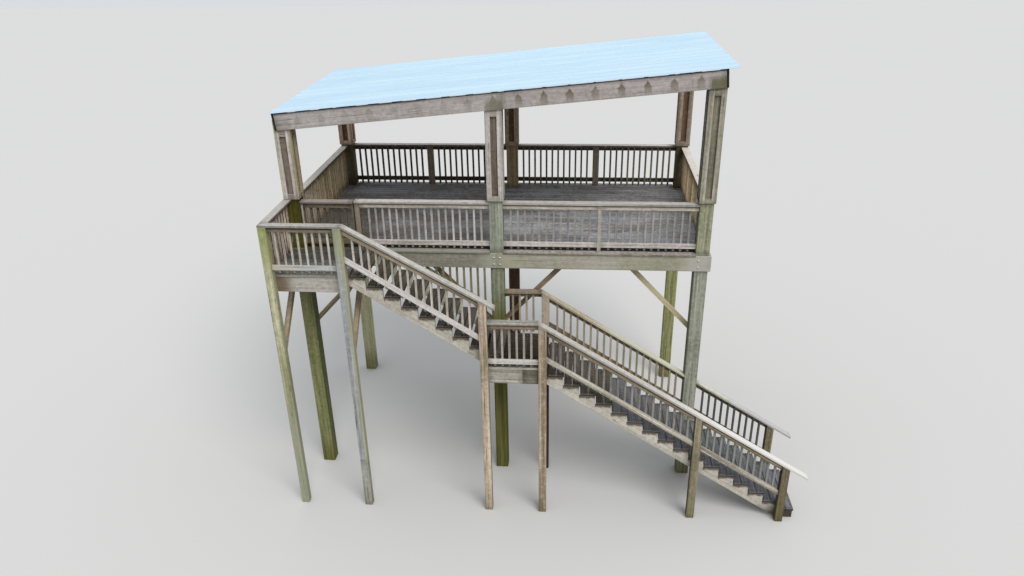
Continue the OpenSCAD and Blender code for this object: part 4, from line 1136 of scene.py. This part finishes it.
# Roof.
# Two-board beams nailed outside the columns fall to the left and carry purlins from front to
# back. Ribbed sheet in pale blue-white paint lies over them.
roof_past_bay = 0.11
roof_half = bay + roof_past_bay
beam_gap = 0.0003
purlin = 0.14
purlins = 19
first_purlin = -roof_half - beam_gap - board
purlin_step = 2 * (roof_half + beam_gap + board / 2) / (purlins - 1)
column_face = column / 2
beam_joint = 0.14
roof_place = Matrix.Translation((0, 0, roof_mid)) @ Matrix.Rotation(-roof_fall, 4, "Y")
black_ends = timber("outer_purlins", (0.05, 0.042, 0.03), (0.03, 0.025, 0.018), (0.02, 0.016, 0.012), 0.4)
roof_beam_timber = timber("roof_beams", (0.52, 0.475, 0.465), (0.37, 0.325, 0.31), (0.28, 0.255, 0.2), 0.4,
                          mottle=0.3, streaking=0.4)

# Rain off the ends of the purlins has left a dark tongue under each, and moss over the columns.
spot = stretched(spot_of(roof_beam_timber), Location=(0, 0, -roof_mid))
along, _, rise = axes_of(stretched(spot, Rotation=(0, roof_fall, 0)))
blur = cloud(spot, 22.0, 3)
from_purlin = to_and_fro(minus(along, first_purlin + board / 2), purlin_step / 2)
tongue = minus(ramp(rise, -0.03, -0.13, 0.025, 0.1), times_plus(blur, 0.07, from_purlin))
share = times(ramp(cloud(spot, 1.3, 2), 0.35, 0.6, 0.6), ramp(along, -0.6, 0.5, 0.35))
share = times(times(share, ramp(rise, -0.3, -0.08, 0.1)), ramp(tongue, -0.004, 0.014, 0, 0.9))
stain(roof_beam_timber, share, (0.12, 0.105, 0.055))
# Painted shadow of the sheet's front edge: a dark blue line along the top of the beams.
stain(roof_beam_timber, ramp(rise, -0.016, -0.006, 0, 0.9), (0.075, 0.1, 0.13))
from_column = times_plus(blur, 0.12, to_and_fro(along, bay / 2))
mossy = times(ramp(from_column, 0.18, 0.23, 1, 0), ramp(rise, -0.07, -0.16))
stain(roof_beam_timber, times(mossy, ramp(along, -bay, bay, 0.3, 0.85)), (0.13, 0.122, 0.06))
for y in (-column_face - beam_gap - board, bay_depth + column_face + beam_gap):
    for a, b, tone in ((-roof_half, beam_joint - hair, 0.15), (beam_joint + hair, roof_half, 0.65)):
        box_board(roof_beam_timber, (a, y, -beam_depth), (b, y + board, 0), ALONG, roof_place, tone=tone)
fix_piece("roof_beam_boards", "beam_wood", "roof_beams")
for i in range(purlins):
    x = first_purlin + i * purlin_step
    outermost = i in (0, purlins - 1)
    past = column_face + (board + beam_gap if outermost else 0)
    finish = black_ends if outermost else frame_timber
    box_board(finish, (x, -past, -purlin_foot), (x + board, bay_depth + past, purlin - purlin_foot), ACROSS,
              roof_place)
    for y in (-past, bay_depth + past - board) if outermost else ():
        box_board(finish, (x, y, -beam_depth), (x + board, y + board, -purlin_foot), UPRIGHT, roof_place)
fix_piece("roof_purlin_boards", "framing_wood", "roof_purlins")

roof_paint = blank_finish("pale_roof_paint")
tree = roof_paint.node_tree
runs = cloud(spot_of(roof_paint), (0.5, 9, 1), 4)
upper_side = ramp(axes_of(coat(tree, "TexCoord").outputs["Normal"])[2], -0.2, 0.2)
sheet_colour = blend(ramp(runs, 0.35, 0.7), (0.54, 0.71, 0.82), (0.465, 0.64, 0.78))
shading = coat(tree, "Mix", {0: times(upper_side, 0.35), 4: coat(tree, "NewGeometry").outputs["Normal"],
                             5: (-math.sin(roof_fall), 0, math.cos(roof_fall))}, data_type="VECTOR")
# Painted shade: the sheet's underside is dark grey-blue.
dress(roof_paint, Base_Color=blend(upper_side, (0.16, 0.18, 0.2), sheet_colour), Normal=shading.outputs[1],
      Roughness=ramp(runs, 0, 1, 0.35, 0.55))
repaint("roof_sheet", roof_paint)
